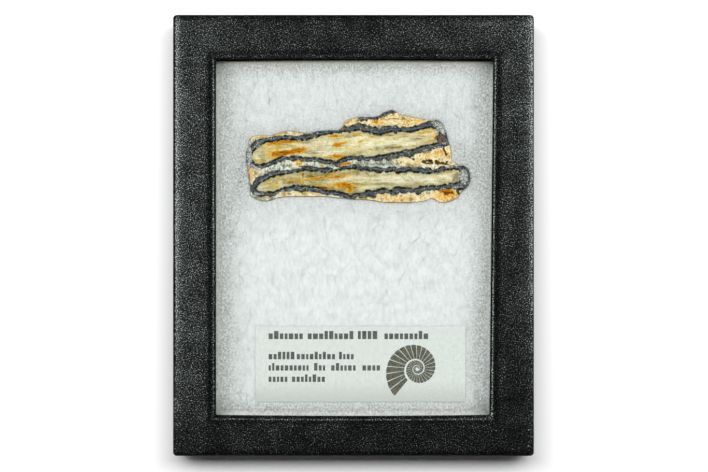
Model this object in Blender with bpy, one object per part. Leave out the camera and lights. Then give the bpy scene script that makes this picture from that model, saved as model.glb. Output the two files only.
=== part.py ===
"""A small display case that holds a polished slice of fossil mammoth tooth.

The case is a cardboard tray with a telescoping lid. The lid holds a pane of glass behind its
window. The tray is filled with white batting, and the slice lies in a pocket in it, close under
the glass, with a small card label below.

Metres, +Z up. The origin is the middle of the case's underside. The case lies on its back:
X runs across its width, Y up its height, and the window faces +Z.
"""

import math

import bmesh
import bpy
import numpy as np
from mathutils import Vector, noise

MM = 0.001
GAP = 0.3 * MM  # clearance between pieces that touch

# The case: 4 1/2 x 5 1/2 x 3/4 inches outside.
CASE_WIDTH = 114.3 * MM
CASE_HEIGHT = 139.7 * MM
CASE_DEPTH = 19.05 * MM
CORNER_RADIUS = 1.5 * MM
CORNER_STEPS = 5

# The lid: a board with the window in it, and skirts that reach almost to the underside.
LID_BOARD = 2.0 * MM
SKIRT = 1.8 * MM
SKIRT_END = 2.2 * MM
LID_EDGE = 1.3 * MM
WINDOW_LEFT = 13.6 * MM
WINDOW_RIGHT = 13.1 * MM
WINDOW_TOP = 14.6 * MM
WINDOW_BOTTOM = 12.9 * MM
WINDOW_LEAN = 0.9 * MM  # how far the window's right side draws in by its lower end
WINDOW_EDGE = 0.9 * MM
WINDOW_CORNER = 0.5 * MM
EDGE_STEPS = 4

# The pane rests on the tray's walls, under the lid's board.
GLASS = 2.2 * MM
GLASS_TOP = CASE_DEPTH - LID_BOARD - GAP
GLASS_BOTTOM = GLASS_TOP - GLASS

# The tray slides inside the lid.
TRAY_WALL = 1.8 * MM
TRAY_FLOOR = 1.8 * MM
TRAY_TOP = GLASS_BOTTOM - GAP
TRAY_RIM = 0.5 * MM
TRAY_CORNER = 1.2 * MM

# What lies under the glass is pressed up to this height.
SHOW_TOP = GLASS_BOTTOM - GAP

# The slice.
SLICE_THICKNESS = 6.0 * MM
SLICE_BOTTOM = SHOW_TOP - SLICE_THICKNESS
SLICE_STEP = 1.15 * MM
# Its outline from above, clockwise from the upper left, in millimetres from the case's middle.
SLICE_OUTLINE = (
    (-32.9, 30.9), (-30.6, 31.7), (-26.4, 31.8), (-22.2, 33.0), (-19.9, 33.2), (-16.1, 32.6),
    (-13.9, 32.5), (-11.4, 33.1), (-7.4, 33.4), (-4.9, 33.4), (-3.5, 34.5), (-2.5, 36.2),
    (-0.5, 37.0), (1.9, 37.6), (4.4, 37.6), (7.8, 37.8), (9.3, 38.9), (10.6, 39.3),
    (12.2, 39.9), (13.5, 39.2), (15.2, 38.3), (19.8, 37.4), (24.3, 36.6), (26.1, 36.7),
    (27.9, 35.8), (29.3, 33.2), (30.2, 29.9), (30.9, 27.6), (31.2, 24.9), (31.6, 23.4),
    (34.0, 22.5), (36.2, 21.4), (37.1, 19.1), (36.8, 16.3), (35.1, 14.6), (34.0, 13.5),
    (33.2, 12.3), (31.3, 11.2), (29.0, 10.5), (26.9, 10.8), (24.9, 11.8), (22.6, 11.0),
    (18.6, 10.5), (13.3, 10.5), (9.4, 10.6), (4.9, 11.3), (0.6, 11.4), (-2.4, 11.8),
    (-7.5, 12.3), (-13.6, 12.4), (-20.1, 12.4), (-23.9, 12.0), (-27.5, 11.0), (-30.3, 11.5),
    (-32.5, 12.6), (-32.9, 15.5), (-33.4, 19.0), (-34.0, 22.8), (-34.1, 26.2), (-33.4, 28.1),
)
# Its rim: how far below the polished face, as a share of the thickness, and how far out.
SLICE_RIM = (
    (0.0, -0.30 * MM), (0.05, -0.02 * MM), (0.22, 0.10 * MM), (0.45, 0.0), (0.68, -0.15 * MM),
    (0.88, -0.35 * MM), (1.0, -0.75 * MM),
)
RIM_LUMPS = 0.35 * MM
RIM_LUMP_SIZE = 3.2 * MM
# Natural hollows in the cement: x, y, length, width and depth in millimetres, and their turn.
PITS = (
    ("pit_long", 23.2, 23.4, 3.5, 1.15, 1.1, 4.0),
    ("pit_right", 27.6, 23.0, 3.3, 1.1, 1.0, -16.0),
    ("pit_end", 29.7, 22.6, 1.5, 0.9, 0.9, 38.0),
    ("pit_small", 18.9, 24.3, 0.7, 0.6, 0.6, 0.0),
    ("pit_crack", 28.9, 26.4, 1.9, 0.5, 0.9, -68.0),
    ("pit_corner", 27.9, 31.4, 2.4, 1.7, 0.8, -55.0),
    ("pit_notch", 33.3, 14.2, 1.5, 0.9, 1.2, 80.0),
)

# The label card, from its lower left corner.
LABEL_LEFT = -31.2 * MM
LABEL_BOTTOM = -52.9 * MM
LABEL_WIDTH = 66.8 * MM
LABEL_HEIGHT = 24.0 * MM
LABEL_CARD = 0.3 * MM

# The batting fills the tray, crowned against the glass and falling away at its edges.
BATTING_STEP = 3.3 * MM
BATTING_TOP = SHOW_TOP - 0.1 * MM
EDGE_DROP = 4.2 * MM
EDGE_REACH = 4.0 * MM
POCKET_ROOM = 0.6 * MM
POCKET_DIP = 2.2 * MM
POCKET_REACH = 2.6 * MM
LABEL_SINK = LABEL_CARD + GAP


def remove_objects():
    for obj in list(bpy.data.objects):
        bpy.data.objects.remove(obj)


def material(name, colour, roughness):
    made = bpy.data.materials.new(name)
    made.use_nodes = True
    shader = made.node_tree.nodes["Principled BSDF"]
    shader.inputs["Base Color"].default_value = (*colour, 1.0)
    shader.inputs["Roughness"].default_value = roughness
    return made


def glass_material():
    made = material("clear_glass", (0.95, 0.97, 0.96), 0.02)
    shader = made.node_tree.nodes["Principled BSDF"]
    shader.inputs["Transmission Weight"].default_value = 1.0
    shader.inputs["IOR"].default_value = 1.52
    return made


def add_object(name, mesh_data, finish, smooth_angle=math.radians(35)):
    mesh = bpy.data.meshes.new(name)
    bmesh.ops.recalc_face_normals(mesh_data, faces=mesh_data.faces)
    mesh_data.to_mesh(mesh)
    mesh_data.free()
    mesh.materials.append(finish)
    mesh.shade_smooth()
    mesh.set_sharp_from_angle(angle=smooth_angle)
    obj = bpy.data.objects.new(name, mesh)
    bpy.context.scene.collection.objects.link(obj)
    return obj


def box_ring(low, high, radius, height):
    """One loop of points round a rectangle with rounded corners, at a height."""
    corners = (
        (high[0] - radius, high[1] - radius, 0.0),
        (low[0] + radius, high[1] - radius, 0.5 * math.pi),
        (low[0] + radius, low[1] + radius, math.pi),
        (high[0] - radius, low[1] + radius, 1.5 * math.pi),
    )
    points = []
    for x, y, start in corners:
        for step in range(CORNER_STEPS + 1):
            turn = start + 0.5 * math.pi * step / CORNER_STEPS
            points.append((x + radius * math.cos(turn), y + radius * math.sin(turn), height))
    return points


def skin(rings, closed):
    """A surface through the rings: back to the first where closed, and otherwise capped."""
    shape = bmesh.new()
    loops = [[shape.verts.new(point) for point in ring] for ring in rings]
    following = loops[1:] + loops[:1] if closed else loops[1:]
    for loop, other in zip(loops, following):
        for i in range(len(loop)):
            j = (i + 1) % len(loop)
            shape.faces.new((loop[i], loop[j], other[j], other[i]))
    if not closed:
        shape.faces.new(loops[0])
        shape.faces.new(loops[-1])
    return shape


def grown(low, high, outward):
    return (low[0] - outward, low[1] - outward), (high[0] + outward, high[1] + outward)


def case_box(inset):
    """Low and high corners of the case's outline, drawn in on every side."""
    x = 0.5 * CASE_WIDTH - inset
    y = 0.5 * CASE_HEIGHT - inset
    return (-x, -y), (x, y)


def rounded_edge(low, high, corner, top, radius, inward):
    """Rings of a quarter-round edge, from its foot on the side up to the flat top.

    inward is +1 where the edge closes in as it rises, and -1 where a hole opens out.
    """
    rings = []
    for step in range(EDGE_STEPS + 1):
        turn = 0.5 * math.pi * step / EDGE_STEPS
        inset = inward * radius * (1.0 - math.cos(turn))
        ring_corner = max(corner - inset, 0.2 * MM)
        rings.append(
            box_ring(*grown(low, high, -inset), ring_corner, top - radius * (1.0 - math.sin(turn)))
        )
    return rings


def leaning(ring, low, high):
    """The window's ring with its right side leaning in towards its lower end."""
    leant = []
    for x, y, height in ring:
        share = max(0.0, min(1.0, (high[1] - y) / (high[1] - low[1])))
        leant.append((x - WINDOW_LEAN * share if x > 0.0 else x, y, height))
    return leant


def make_lid(finish):
    outer = case_box(0.0)
    inner = case_box(SKIRT)
    under = CASE_DEPTH - LID_BOARD
    low = (outer[0][0] + WINDOW_LEFT, outer[0][1] + WINDOW_BOTTOM)
    high = (outer[1][0] - WINDOW_RIGHT, outer[1][1] - WINDOW_TOP)
    window = rounded_edge(low, high, WINDOW_CORNER, CASE_DEPTH, WINDOW_EDGE, -1)[::-1]
    window.append(box_ring(low, high, WINDOW_CORNER, under))
    rings = [box_ring(*outer, CORNER_RADIUS, SKIRT_END)]
    rings += rounded_edge(*outer, CORNER_RADIUS, CASE_DEPTH, LID_EDGE, 1)
    rings += [leaning(ring, low, high) for ring in window]
    rings.append(box_ring(*inner, 0.4 * MM, under))
    rings.append(box_ring(*inner, 0.4 * MM, SKIRT_END))
    return add_object("lid", skin(rings, closed=True), finish)


def make_tray(finish):
    outer = case_box(SKIRT + GAP)
    inner = case_box(SKIRT + GAP + TRAY_WALL)
    rings = [box_ring(*grown(*outer, -TRAY_RIM), TRAY_CORNER - TRAY_RIM, 0.0)]
    rings.append(box_ring(*outer, TRAY_CORNER, TRAY_RIM))
    rings.append(box_ring(*outer, TRAY_CORNER, TRAY_TOP - TRAY_RIM))
    rings.append(box_ring(*grown(*outer, -TRAY_RIM), TRAY_CORNER - TRAY_RIM, TRAY_TOP))
    rings.append(box_ring(*grown(*inner, TRAY_RIM), 0.9 * MM, TRAY_TOP))
    rings.append(box_ring(*inner, 0.4 * MM, TRAY_TOP - TRAY_RIM))
    rings.append(box_ring(*inner, 0.4 * MM, TRAY_FLOOR))
    return add_object("tray", skin(rings, closed=False), finish)


def make_glass(finish):
    low, high = case_box(SKIRT + GAP)
    chamfer = 0.2 * MM
    inset = grown(low, high, -chamfer)
    rings = [
        box_ring(*inset, 0.3 * MM, GLASS_BOTTOM),
        box_ring(low, high, 0.4 * MM, GLASS_BOTTOM + chamfer),
        box_ring(low, high, 0.4 * MM, GLASS_TOP - chamfer),
        box_ring(*inset, 0.3 * MM, GLASS_TOP),
    ]
    return add_object("window_glass", skin(rings, closed=False), finish)


def make_label(finish):
    low = (LABEL_LEFT, LABEL_BOTTOM)
    high = (LABEL_LEFT + LABEL_WIDTH, LABEL_BOTTOM + LABEL_HEIGHT)
    rings = [
        box_ring(low, high, 0.3 * MM, SHOW_TOP - LABEL_CARD),
        box_ring(low, high, 0.3 * MM, SHOW_TOP),
    ]
    return add_object("label", skin(rings, closed=False), finish)


def smooth_loop(points, step):
    """Points about a step apart along the closed Catmull-Rom curve through the given ones."""
    given = np.array(points)
    dense = []
    for i in range(len(given)):
        a, b, c, d = (given[(i + k) % len(given)] for k in (-1, 0, 1, 2))
        for t in np.linspace(0.0, 1.0, 12, endpoint=False):
            dense.append(
                0.5 * (2 * b + (c - a) * t + (2 * a - 5 * b + 4 * c - d) * t**2
                       + (3 * b - a - 3 * c + d) * t**3)
            )
    dense = np.array(dense + dense[:1])
    along = np.concatenate([[0.0], np.cumsum(np.linalg.norm(np.diff(dense, axis=0), axis=1))])
    places = np.linspace(0.0, along[-1], round(along[-1] / step), endpoint=False)
    return np.column_stack([np.interp(places, along, dense[:, k]) for k in (0, 1)])


def outward_normals(loop):
    """Unit normals of a clockwise loop, pointing away from its inside."""
    run = np.roll(loop, -2, axis=0) - np.roll(loop, 2, axis=0)
    run /= np.linalg.norm(run, axis=1)[:, None]
    return np.column_stack([-run[:, 1], run[:, 0]])


def slice_outline():
    return smooth_loop(np.array(SLICE_OUTLINE) * MM, SLICE_STEP)


def make_slice(finish):
    outline = slice_outline()
    normals = outward_normals(outline)
    rings = []
    for depth, outward in SLICE_RIM:
        height = SHOW_TOP - depth * SLICE_THICKNESS
        ring = []
        for point, normal in zip(outline, normals):
            place = Vector((*point, height)) / RIM_LUMP_SIZE
            lump = RIM_LUMPS * noise.noise(place) * math.sin(math.pi * depth) ** 0.5
            moved = point + normal * (outward + lump)
            ring.append((moved[0], moved[1], height))
        rings.append(ring[::-1])
    obj = add_object("tooth_slice", skin(rings, closed=False), finish)
    for pit in PITS:
        cut_pit(obj, *pit)
    return obj


def cut_pit(obj, name, x, y, length, width, depth, turn):
    """Cuts a small lumpy hollow into the polished face."""
    shape = bmesh.new()
    bmesh.ops.create_icosphere(shape, subdivisions=2, radius=1.0)
    sides = Vector((0.5 * length * MM, 0.5 * width * MM, depth * MM))
    for vert in shape.verts:
        ragged = 1.0 + 0.25 * noise.noise(2.3 * vert.co + Vector((x, y, 0.0)))
        vert.co = vert.co * sides * ragged
    cutter = add_object(name, shape, obj.data.materials[0])
    cutter.location = (x * MM, y * MM, SHOW_TOP)
    cutter.rotation_euler.z = math.radians(turn)
    cutter.hide_render = True
    cutter.display_type = "WIRE"
    cut = obj.modifiers.new(name, "BOOLEAN")
    cut.operation = "DIFFERENCE"
    cut.solver = "EXACT"
    cut.object = cutter


def batting_height(x, y, low, high, outline):
    """Height of the batting's top: crowned, low at its edges and dipping round the slice."""
    edge = min(x - low[0], high[0] - x, y - low[1], high[1] - y)
    height = BATTING_TOP - EDGE_DROP * math.exp(-((edge / EDGE_REACH) ** 1.3))
    away = np.linalg.norm(outline - (x, y), axis=1).min()
    height -= POCKET_DIP * math.exp(-((away / POCKET_REACH) ** 2))
    beside_label = max(
        LABEL_LEFT - x, x - LABEL_LEFT - LABEL_WIDTH,
        LABEL_BOTTOM - y, y - LABEL_BOTTOM - LABEL_HEIGHT,
    )
    if beside_label < BATTING_STEP:
        height = min(height, SHOW_TOP - LABEL_SINK)
    return height


def make_batting(finish):
    low, high = case_box(SKIRT + GAP + TRAY_WALL + GAP)
    outline = slice_outline()
    columns = round((high[0] - low[0]) / BATTING_STEP)
    rows = round((high[1] - low[1]) / BATTING_STEP)
    xs = np.linspace(low[0], high[0], columns + 1)
    ys = np.linspace(low[1], high[1], rows + 1)
    shape = bmesh.new()
    top = [
        [shape.verts.new((x, y, batting_height(x, y, low, high, outline))) for x in xs]
        for y in ys
    ]
    for j in range(rows):
        for i in range(columns):
            shape.faces.new((top[j][i], top[j][i + 1], top[j + 1][i + 1], top[j + 1][i]))
    border = top[0] + [row[-1] for row in top[1:-1]] + top[-1][::-1]
    border += [row[0] for row in top[-2:0:-1]]
    base = [shape.verts.new((v.co.x, v.co.y, TRAY_FLOOR + GAP)) for v in border]
    for i in range(len(border)):
        j = (i + 1) % len(border)
        shape.faces.new((border[j], border[i], base[i], base[j]))
    shape.faces.new(base[::-1])
    obj = add_object("batting", shape, finish)
    cut_pocket(obj, outline)
    return obj


def cut_pocket(obj, outline):
    """Cuts the pocket that the slice lies in."""
    room = outline + outward_normals(outline) * POCKET_ROOM
    room = room[::-1]
    rings = [
        [(x, y, height) for x, y in room]
        for height in (SLICE_BOTTOM - GAP, CASE_DEPTH)
    ]
    cutter = add_object("pocket_cutter", skin(rings, closed=False), obj.data.materials[0])
    cutter.hide_render = True
    cutter.display_type = "WIRE"
    cut = obj.modifiers.new("pocket", "BOOLEAN")
    cut.operation = "DIFFERENCE"
    cut.solver = "EXACT"
    cut.object = cutter


def main():
    remove_objects()
    paper = material("black_grained_paper", (0.018, 0.018, 0.019), 0.45)
    make_tray(paper)
    make_lid(paper)
    make_glass(glass_material())
    make_batting(material("white_batting", (0.86, 0.87, 0.88), 0.95))
    make_slice(material("fossil_tooth", (0.80, 0.70, 0.46), 0.25))
    make_label(material("label_card", (0.85, 0.86, 0.87), 0.75))


main()
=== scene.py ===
"""Looks of a small display case that holds a polished slice of fossil mammoth tooth.

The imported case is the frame: a paper-covered tray and lid, a pane of glass, white batting, the
slice and a label card. This script gives the tray and the pane their finishes, and stands
detailed meshes in for the lid, the batting, the slice and the card. Lengths are in metres, or
in millimetres where that is said, and places are from the middle of the case's underside.
"""

import math

import bpy
import numpy as np
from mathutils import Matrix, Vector, geometry, kdtree, noise


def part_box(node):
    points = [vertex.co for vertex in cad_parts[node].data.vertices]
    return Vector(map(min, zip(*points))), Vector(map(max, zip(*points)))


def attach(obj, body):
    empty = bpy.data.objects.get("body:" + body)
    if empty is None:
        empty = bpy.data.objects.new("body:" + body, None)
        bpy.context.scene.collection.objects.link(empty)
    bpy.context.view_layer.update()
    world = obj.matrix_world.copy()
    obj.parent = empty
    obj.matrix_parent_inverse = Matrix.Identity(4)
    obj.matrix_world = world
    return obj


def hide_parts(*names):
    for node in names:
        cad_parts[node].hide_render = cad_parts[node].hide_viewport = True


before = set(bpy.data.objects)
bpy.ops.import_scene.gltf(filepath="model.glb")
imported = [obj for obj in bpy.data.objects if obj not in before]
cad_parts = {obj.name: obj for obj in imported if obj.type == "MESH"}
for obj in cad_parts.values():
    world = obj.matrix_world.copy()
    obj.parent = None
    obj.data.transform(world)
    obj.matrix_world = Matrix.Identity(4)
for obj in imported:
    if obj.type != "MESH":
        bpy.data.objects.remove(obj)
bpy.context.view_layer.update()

MM = 0.001

# The camera looks straight down.
FRAME_WIDTH = 708
PIXEL = 0.3166 * MM  # at the foot of the lid's rounded edge
LENS = 100.0
SENSOR = 36.0
VIEW_OFFSET = (0.5 * PIXEL, -0.6 * PIXEL)  # the frame's middle from the case's middle

# The lid's board and skirt, as in part.py, and its edges and window as the paper left them.
GAP = 0.3 * MM
SKIRT = 1.8 * MM
INNER_CORNER = 0.4 * MM
LID_BOARD = 2.0 * MM
CORNER_RADIUS = 1.25 * MM
LEAST_CORNER = 0.2 * MM
LID_EDGE = 1.3 * MM
WINDOW_LEFT = 13.6 * MM
WINDOW_RIGHT = 12.9 * MM
WINDOW_TOP = 14.1 * MM
WINDOW_BOTTOM = 13.02 * MM
WINDOW_LEAN = 1.2 * MM
WINDOW_BOW = 0.3 * MM
WINDOW_EDGE = 0.65 * MM
WINDOW_CORNER = 0.5 * MM

# How finely the lid is laid out: points along its sides and corners, and steps between rings.
LID_ACROSS = 246
LID_ALONG = 302
LID_TURN = 6
SIDE_STEPS = 30
EDGE_STEPS = 6
TOP_STEPS = 24
WINDOW_STEPS = 5
HIDDEN_STEPS = (3, 2, 3, 2)  # down the window, under the board, down the skirt, across its foot

# The paper's relief in millimetres, as layers of noise: height, size, offset.
PAPER_RELIEF = ((0.012, 0.9 * MM, 0.0), (0.02, 4.0 * MM, 7.0))
RELIEF_SINK = 0.03

# The bands beside the window, where painted sheen and shade lie, in millimetres: how wide they are and
# how they blend.
BAND = 14.0
BAND_BLEND = 6.0
# How pale the painted sheen makes the paper on each, darker below 0 as painted shade, and how that
# changes from so far off the middle, over so much.
BAND_CHANGE = (10.0, 40.0)
LEFT_SHEEN = 0.2
LEFT_LOSS = 0.1  # towards its foot, and at its head
LEFT_HEAD_CHANGE = (48.0, 12.0)
RIGHT_SHEENS = (0.12, -0.27)  # towards its head and its foot
HEAD_SHEENS = (-0.08, 0.3)  # at its middle, and what its ends add to that
HEAD_SPAN = 50.0
FOOT_SHADE = -0.27
FOOT_SPARED = 0.7  # the share of that which the right band is spared
BASE_SHADE = -0.06
# Painted highlights along the left and the right edge: how strong, how far in, and how dark the painted
# shade makes the paper outside them.
EDGE_HIGHLIGHTS = ((1.09, 0.95 * MM, 0.8), (1.14, 0.6 * MM, 0.15))
EDGE_HIGHLIGHT_START = 0.2 * MM
EDGE_HIGHLIGHT_REACH = 1.2 * MM
# Painted shade along the lid's top and bottom edges: how dark, and how far in.
END_DARK = 0.7
END_REACH = 1.4 * MM
# A painted highlight on the ridge that the paper makes round the window, and painted shade in the ditch
# outside it and on the window's rounded edge.
RIDGE_PLACES = (0.75 * MM, 0.7 * MM, 1.2 * MM, 0.75 * MM)  # left, right, bottom, top
RIDGE_HIGHLIGHTS = (1.1, 1.0, 1.0, 0.0)
RIDGE_WIDTH = 0.22 * MM
RIDGE_FOOT = 0.3 * MM
DITCH_SHADES = (0.6, 0.6, 0.3, 0.35)
DITCH_PLACE = 1.8 * MM
DITCH_WIDTH = 0.8 * MM
# How the painted highlights die away down the lid: where they start to, where they end, and what is
# left.
EDGE_FADES = ((-12.0 * MM, -62.0 * MM, 0.15), (-2.0 * MM, -50.0 * MM, 0.3))
RIDGE_FADES = (
    (-2.0 * MM, -14.0 * MM, 0.6), (-10.0 * MM, -24.0 * MM, 1.22), (0.0, -1.0, 1.0), (0.0, -1.0, 1.0),
)
PAINTED_LIGHT_DEPTH = 0.8 * MM  # how far down the lid's sides the painted light reaches
# Scuffs on the paper: x, y, half length, half width in millimetres, turn in degrees, strength.
SCUFFS = (
    (43.7, -56.5, 0.75, 0.2, 42, 1.6), (43.0, -57.35, 0.3, 0.25, 30, 1.2),
    (43.75, -58.3, 0.28, 0.26, 0, 1.1), (49.4, -51.8, 2.2, 0.16, 0, -0.9),
    (55.7, -61.45, 0.62, 0.2, 0, 1.1), (55.4, -65.3, 0.55, 0.2, 0, 1.0),
    (55.5, -66.6, 0.6, 0.2, 0, 1.0),
)
TAN_FLECK = (44.6, -56.2, 0.6, 0.3, 55, 0.9)

# The slice's outline from above, clockwise from the upper left, in millimetres.
SLICE_OUTLINE = (
    (-32.9, 30.9), (-30.6, 31.7), (-26.4, 31.8), (-22.2, 33.0), (-19.9, 33.2), (-16.1, 32.6),
    (-13.9, 32.5), (-11.4, 33.1), (-7.4, 33.4), (-4.9, 33.4), (-3.5, 34.5), (-2.5, 36.2), (-0.5, 37.0),
    (1.9, 37.6), (4.4, 37.6), (7.8, 37.8), (9.3, 38.9), (10.6, 39.3), (12.2, 39.9), (13.5, 39.2),
    (15.2, 38.3), (19.8, 37.4), (24.3, 36.6), (26.1, 36.7), (27.9, 35.8), (29.3, 33.2), (30.2, 29.9),
    (30.9, 27.6), (31.2, 24.9), (31.6, 23.4), (34.0, 22.5), (36.2, 21.4), (37.1, 19.1), (36.8, 16.3),
    (35.1, 14.6), (34.0, 13.5), (33.2, 12.3), (31.3, 11.2), (29.0, 10.5), (26.9, 10.8), (24.9, 11.8),
    (22.6, 11.0), (18.6, 10.5), (13.3, 10.5), (9.4, 10.6), (4.9, 11.3), (0.6, 11.4), (-2.4, 11.8),
    (-7.5, 12.3), (-13.6, 12.4), (-20.1, 12.4), (-23.9, 12.0), (-27.5, 11.0), (-30.3, 11.5),
    (-32.5, 12.6), (-32.9, 15.5), (-33.4, 19.0), (-34.0, 22.8), (-34.1, 26.2), (-33.4, 28.1),
)

# The outer and inner edges of each plate's enamel ring, in millimetres.
UPPER_ENAMEL = (
    (-34.0, 23.8), (-34.0, 26.1), (-33.1, 27.6), (-32.5, 28.7), (-31.5, 29.7), (-29.9, 30.6),
    (-27.7, 30.9), (-25.5, 31.2), (-23.3, 31.6), (-20.1, 31.7), (-18.5, 31.5), (-15.7, 31.9),
    (-14.1, 32.1), (-12.2, 32.8), (-10.3, 33.2), (-7.8, 33.5), (-5.5, 33.3), (-3.6, 34.1),
    (-2.7, 34.7), (-1.1, 34.7), (0.3, 35.3), (1.4, 35.8), (2.7, 35.4), (4.3, 35.0), (5.5, 34.5),
    (7.1, 34.4), (8.2, 33.7), (8.9, 34.4), (10.6, 34.8), (12.2, 34.6), (13.1, 35.1), (14.6, 34.2),
    (15.7, 34.5), (17.6, 34.1), (19.2, 34.7), (21.1, 35.2), (23.0, 36.2), (24.9, 36.3), (26.4, 36.7),
    (27.7, 36.1), (29.1, 34.0), (29.9, 31.4), (30.6, 29.9), (29.9, 28.7), (28.7, 28.2), (26.8, 27.9),
    (25.2, 27.4), (24.1, 26.6), (22.3, 26.4), (19.8, 26.1), (18.7, 25.3), (17.6, 24.9), (16.3, 25.2),
    (14.4, 24.8), (12.5, 24.3), (11.2, 23.9), (9.8, 24.5), (8.7, 23.8), (6.8, 23.8), (5.9, 24.3),
    (4.4, 23.7), (3.0, 24.3), (2.1, 23.8), (0.3, 24.4), (-1.7, 23.9), (-3.6, 23.0), (-5.2, 22.0),
    (-7.1, 22.8), (-9.0, 22.7), (-10.9, 23.4), (-13.1, 23.5), (-16.3, 23.7), (-17.6, 24.1),
    (-19.5, 23.8), (-21.4, 24.3), (-22.8, 23.7), (-24.2, 23.1), (-26.1, 22.4), (-28.0, 21.7),
    (-29.9, 21.3), (-31.8, 21.8), (-33.4, 22.6),
)
UPPER_CORE = (
    (-32.1, 26.1), (-31.7, 26.8), (-30.4, 27.8), (-29.4, 28.7), (-28.0, 29.6), (-26.1, 29.8),
    (-23.3, 30.3), (-20.1, 30.4), (-16.9, 30.3), (-15.4, 30.2), (-14.1, 30.6), (-12.5, 31.0),
    (-10.6, 31.7), (-8.7, 32.0), (-6.5, 32.4), (-4.6, 32.6), (-3.0, 33.0), (-1.1, 32.9), (0.5, 33.3),
    (2.4, 33.2), (4.6, 32.7), (6.5, 32.3), (8.1, 31.8), (9.7, 32.3), (11.2, 32.5), (12.0, 32.8),
    (13.5, 32.6), (14.7, 33.1), (16.0, 32.9), (17.9, 32.8), (19.8, 33.2), (22.3, 33.9), (24.2, 34.3),
    (26.1, 34.0), (27.1, 33.2), (26.9, 31.9), (26.3, 30.8), (26.9, 29.6), (25.5, 29.2), (23.3, 28.7),
    (20.4, 28.0), (18.2, 27.3), (16.0, 27.1), (14.7, 26.6), (12.5, 26.3), (10.6, 25.8), (8.4, 25.6),
    (6.5, 25.2), (4.0, 25.1), (2.4, 25.3), (1.4, 25.1), (-1.1, 25.3), (-3.0, 24.8), (-4.3, 24.2),
    (-5.5, 23.4), (-7.4, 23.9), (-9.3, 24.1), (-10.9, 24.6), (-13.5, 24.7), (-16.3, 24.8),
    (-18.2, 25.3), (-20.1, 25.1), (-22.6, 25.3), (-24.2, 24.6), (-26.4, 23.5), (-28.3, 22.9),
    (-30.2, 22.5), (-31.5, 23.1), (-32.4, 24.3),
)
LOWER_ENAMEL = (
    (-32.7, 14.3), (-32.6, 15.6), (-32.0, 16.7), (-30.9, 18.1), (-29.3, 18.7), (-28.0, 19.4),
    (-26.8, 20.2), (-24.9, 20.5), (-22.3, 20.7), (-19.8, 20.7), (-18.2, 21.2), (-16.9, 21.1),
    (-15.4, 21.9), (-12.8, 21.8), (-10.6, 21.3), (-8.1, 21.5), (-5.9, 21.0), (-4.0, 21.6),
    (-1.4, 22.1), (0.5, 22.4), (2.4, 21.8), (4.3, 21.8), (5.5, 21.4), (7.1, 21.9), (8.4, 21.5),
    (10.0, 21.3), (11.6, 21.8), (12.8, 22.0), (14.4, 21.2), (15.7, 21.7), (17.3, 21.7), (18.8, 21.4),
    (21.1, 21.8), (22.3, 21.2), (23.9, 21.6), (25.2, 20.9), (27.1, 21.4), (28.7, 22.0), (29.9, 21.3),
    (31.5, 21.7), (33.1, 21.9), (35.0, 22.0), (36.1, 21.2), (36.9, 20.0), (37.1, 18.5), (36.9, 16.9),
    (35.9, 15.3), (34.7, 14.6), (33.1, 14.8), (30.6, 14.8), (27.4, 14.7), (25.5, 14.5), (23.6, 14.5),
    (22.0, 14.0), (20.7, 13.0), (19.5, 13.6), (17.3, 13.8), (15.8, 13.2), (14.7, 13.7), (13.3, 12.8),
    (11.6, 13.3), (10.3, 13.7), (8.9, 13.3), (7.6, 13.5), (6.8, 12.1), (4.9, 12.3), (3.0, 12.1),
    (1.1, 12.3), (-0.5, 11.5), (-2.4, 12.0), (-4.6, 12.6), (-7.1, 13.0), (-9.0, 13.0), (-11.2, 13.7),
    (-13.1, 13.9), (-15.0, 14.3), (-16.1, 13.8), (-17.9, 14.2), (-19.2, 14.5), (-20.7, 14.1),
    (-23.0, 13.8), (-24.9, 13.0), (-26.4, 12.4), (-28.3, 12.7), (-29.3, 12.4), (-31.2, 12.8),
    (-32.2, 13.5),
)
LOWER_CORE = (
    (-30.9, 14.6), (-30.7, 15.4), (-29.8, 16.4), (-28.3, 17.3), (-26.1, 18.4), (-24.2, 19.0),
    (-21.7, 19.5), (-19.5, 19.7), (-18.0, 20.2), (-16.9, 20.2), (-15.4, 20.7), (-13.5, 20.3),
    (-10.9, 20.3), (-8.4, 20.0), (-6.2, 20.2), (-4.0, 20.8), (-1.4, 21.1), (0.8, 21.2), (2.4, 20.7),
    (4.0, 20.7), (5.5, 20.3), (6.5, 20.5), (7.9, 19.9), (9.7, 20.3), (10.6, 20.0), (12.5, 20.5),
    (13.8, 19.9), (16.6, 20.0), (17.6, 20.4), (19.8, 20.0), (21.7, 19.9), (22.6, 19.5), (24.5, 19.7),
    (26.8, 20.1), (29.3, 20.6), (32.1, 21.0), (33.4, 20.6), (34.2, 19.2), (34.0, 17.8), (32.9, 17.0),
    (30.6, 16.5), (27.4, 15.9), (24.2, 15.8), (22.6, 15.7), (21.1, 15.8), (20.3, 15.1), (17.3, 15.2),
    (13.5, 15.4), (12.0, 14.5), (10.3, 15.0), (8.4, 14.8), (5.9, 14.2), (4.7, 14.5), (2.7, 13.6),
    (0.2, 13.2), (-0.9, 12.7), (-3.0, 13.6), (-5.9, 14.2), (-8.7, 14.5), (-10.4, 15.1), (-12.2, 15.5),
    (-14.7, 15.6), (-16.3, 15.8), (-17.9, 16.1), (-20.1, 15.6), (-22.6, 15.1), (-23.9, 14.5),
    (-26.1, 13.9), (-28.7, 14.0), (-30.2, 14.1),
)
# The edge of a third plate's enamel, left on the upper fragment.
ENAMEL_SCRAP = (
    (1.5, 36.7), (2.0, 37.6), (3.0, 37.6), (4.1, 37.8), (5.5, 37.9), (6.6, 37.6), (8.1, 37.8),
    (8.9, 38.7), (9.8, 39.1), (10.9, 39.3), (11.9, 39.9), (13.1, 39.9), (13.6, 39.4), (12.7, 38.9),
    (11.4, 38.8), (10.4, 38.1), (9.0, 37.6), (7.9, 37.1), (6.5, 36.7), (5.2, 36.9), (3.6, 36.5),
)
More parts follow.
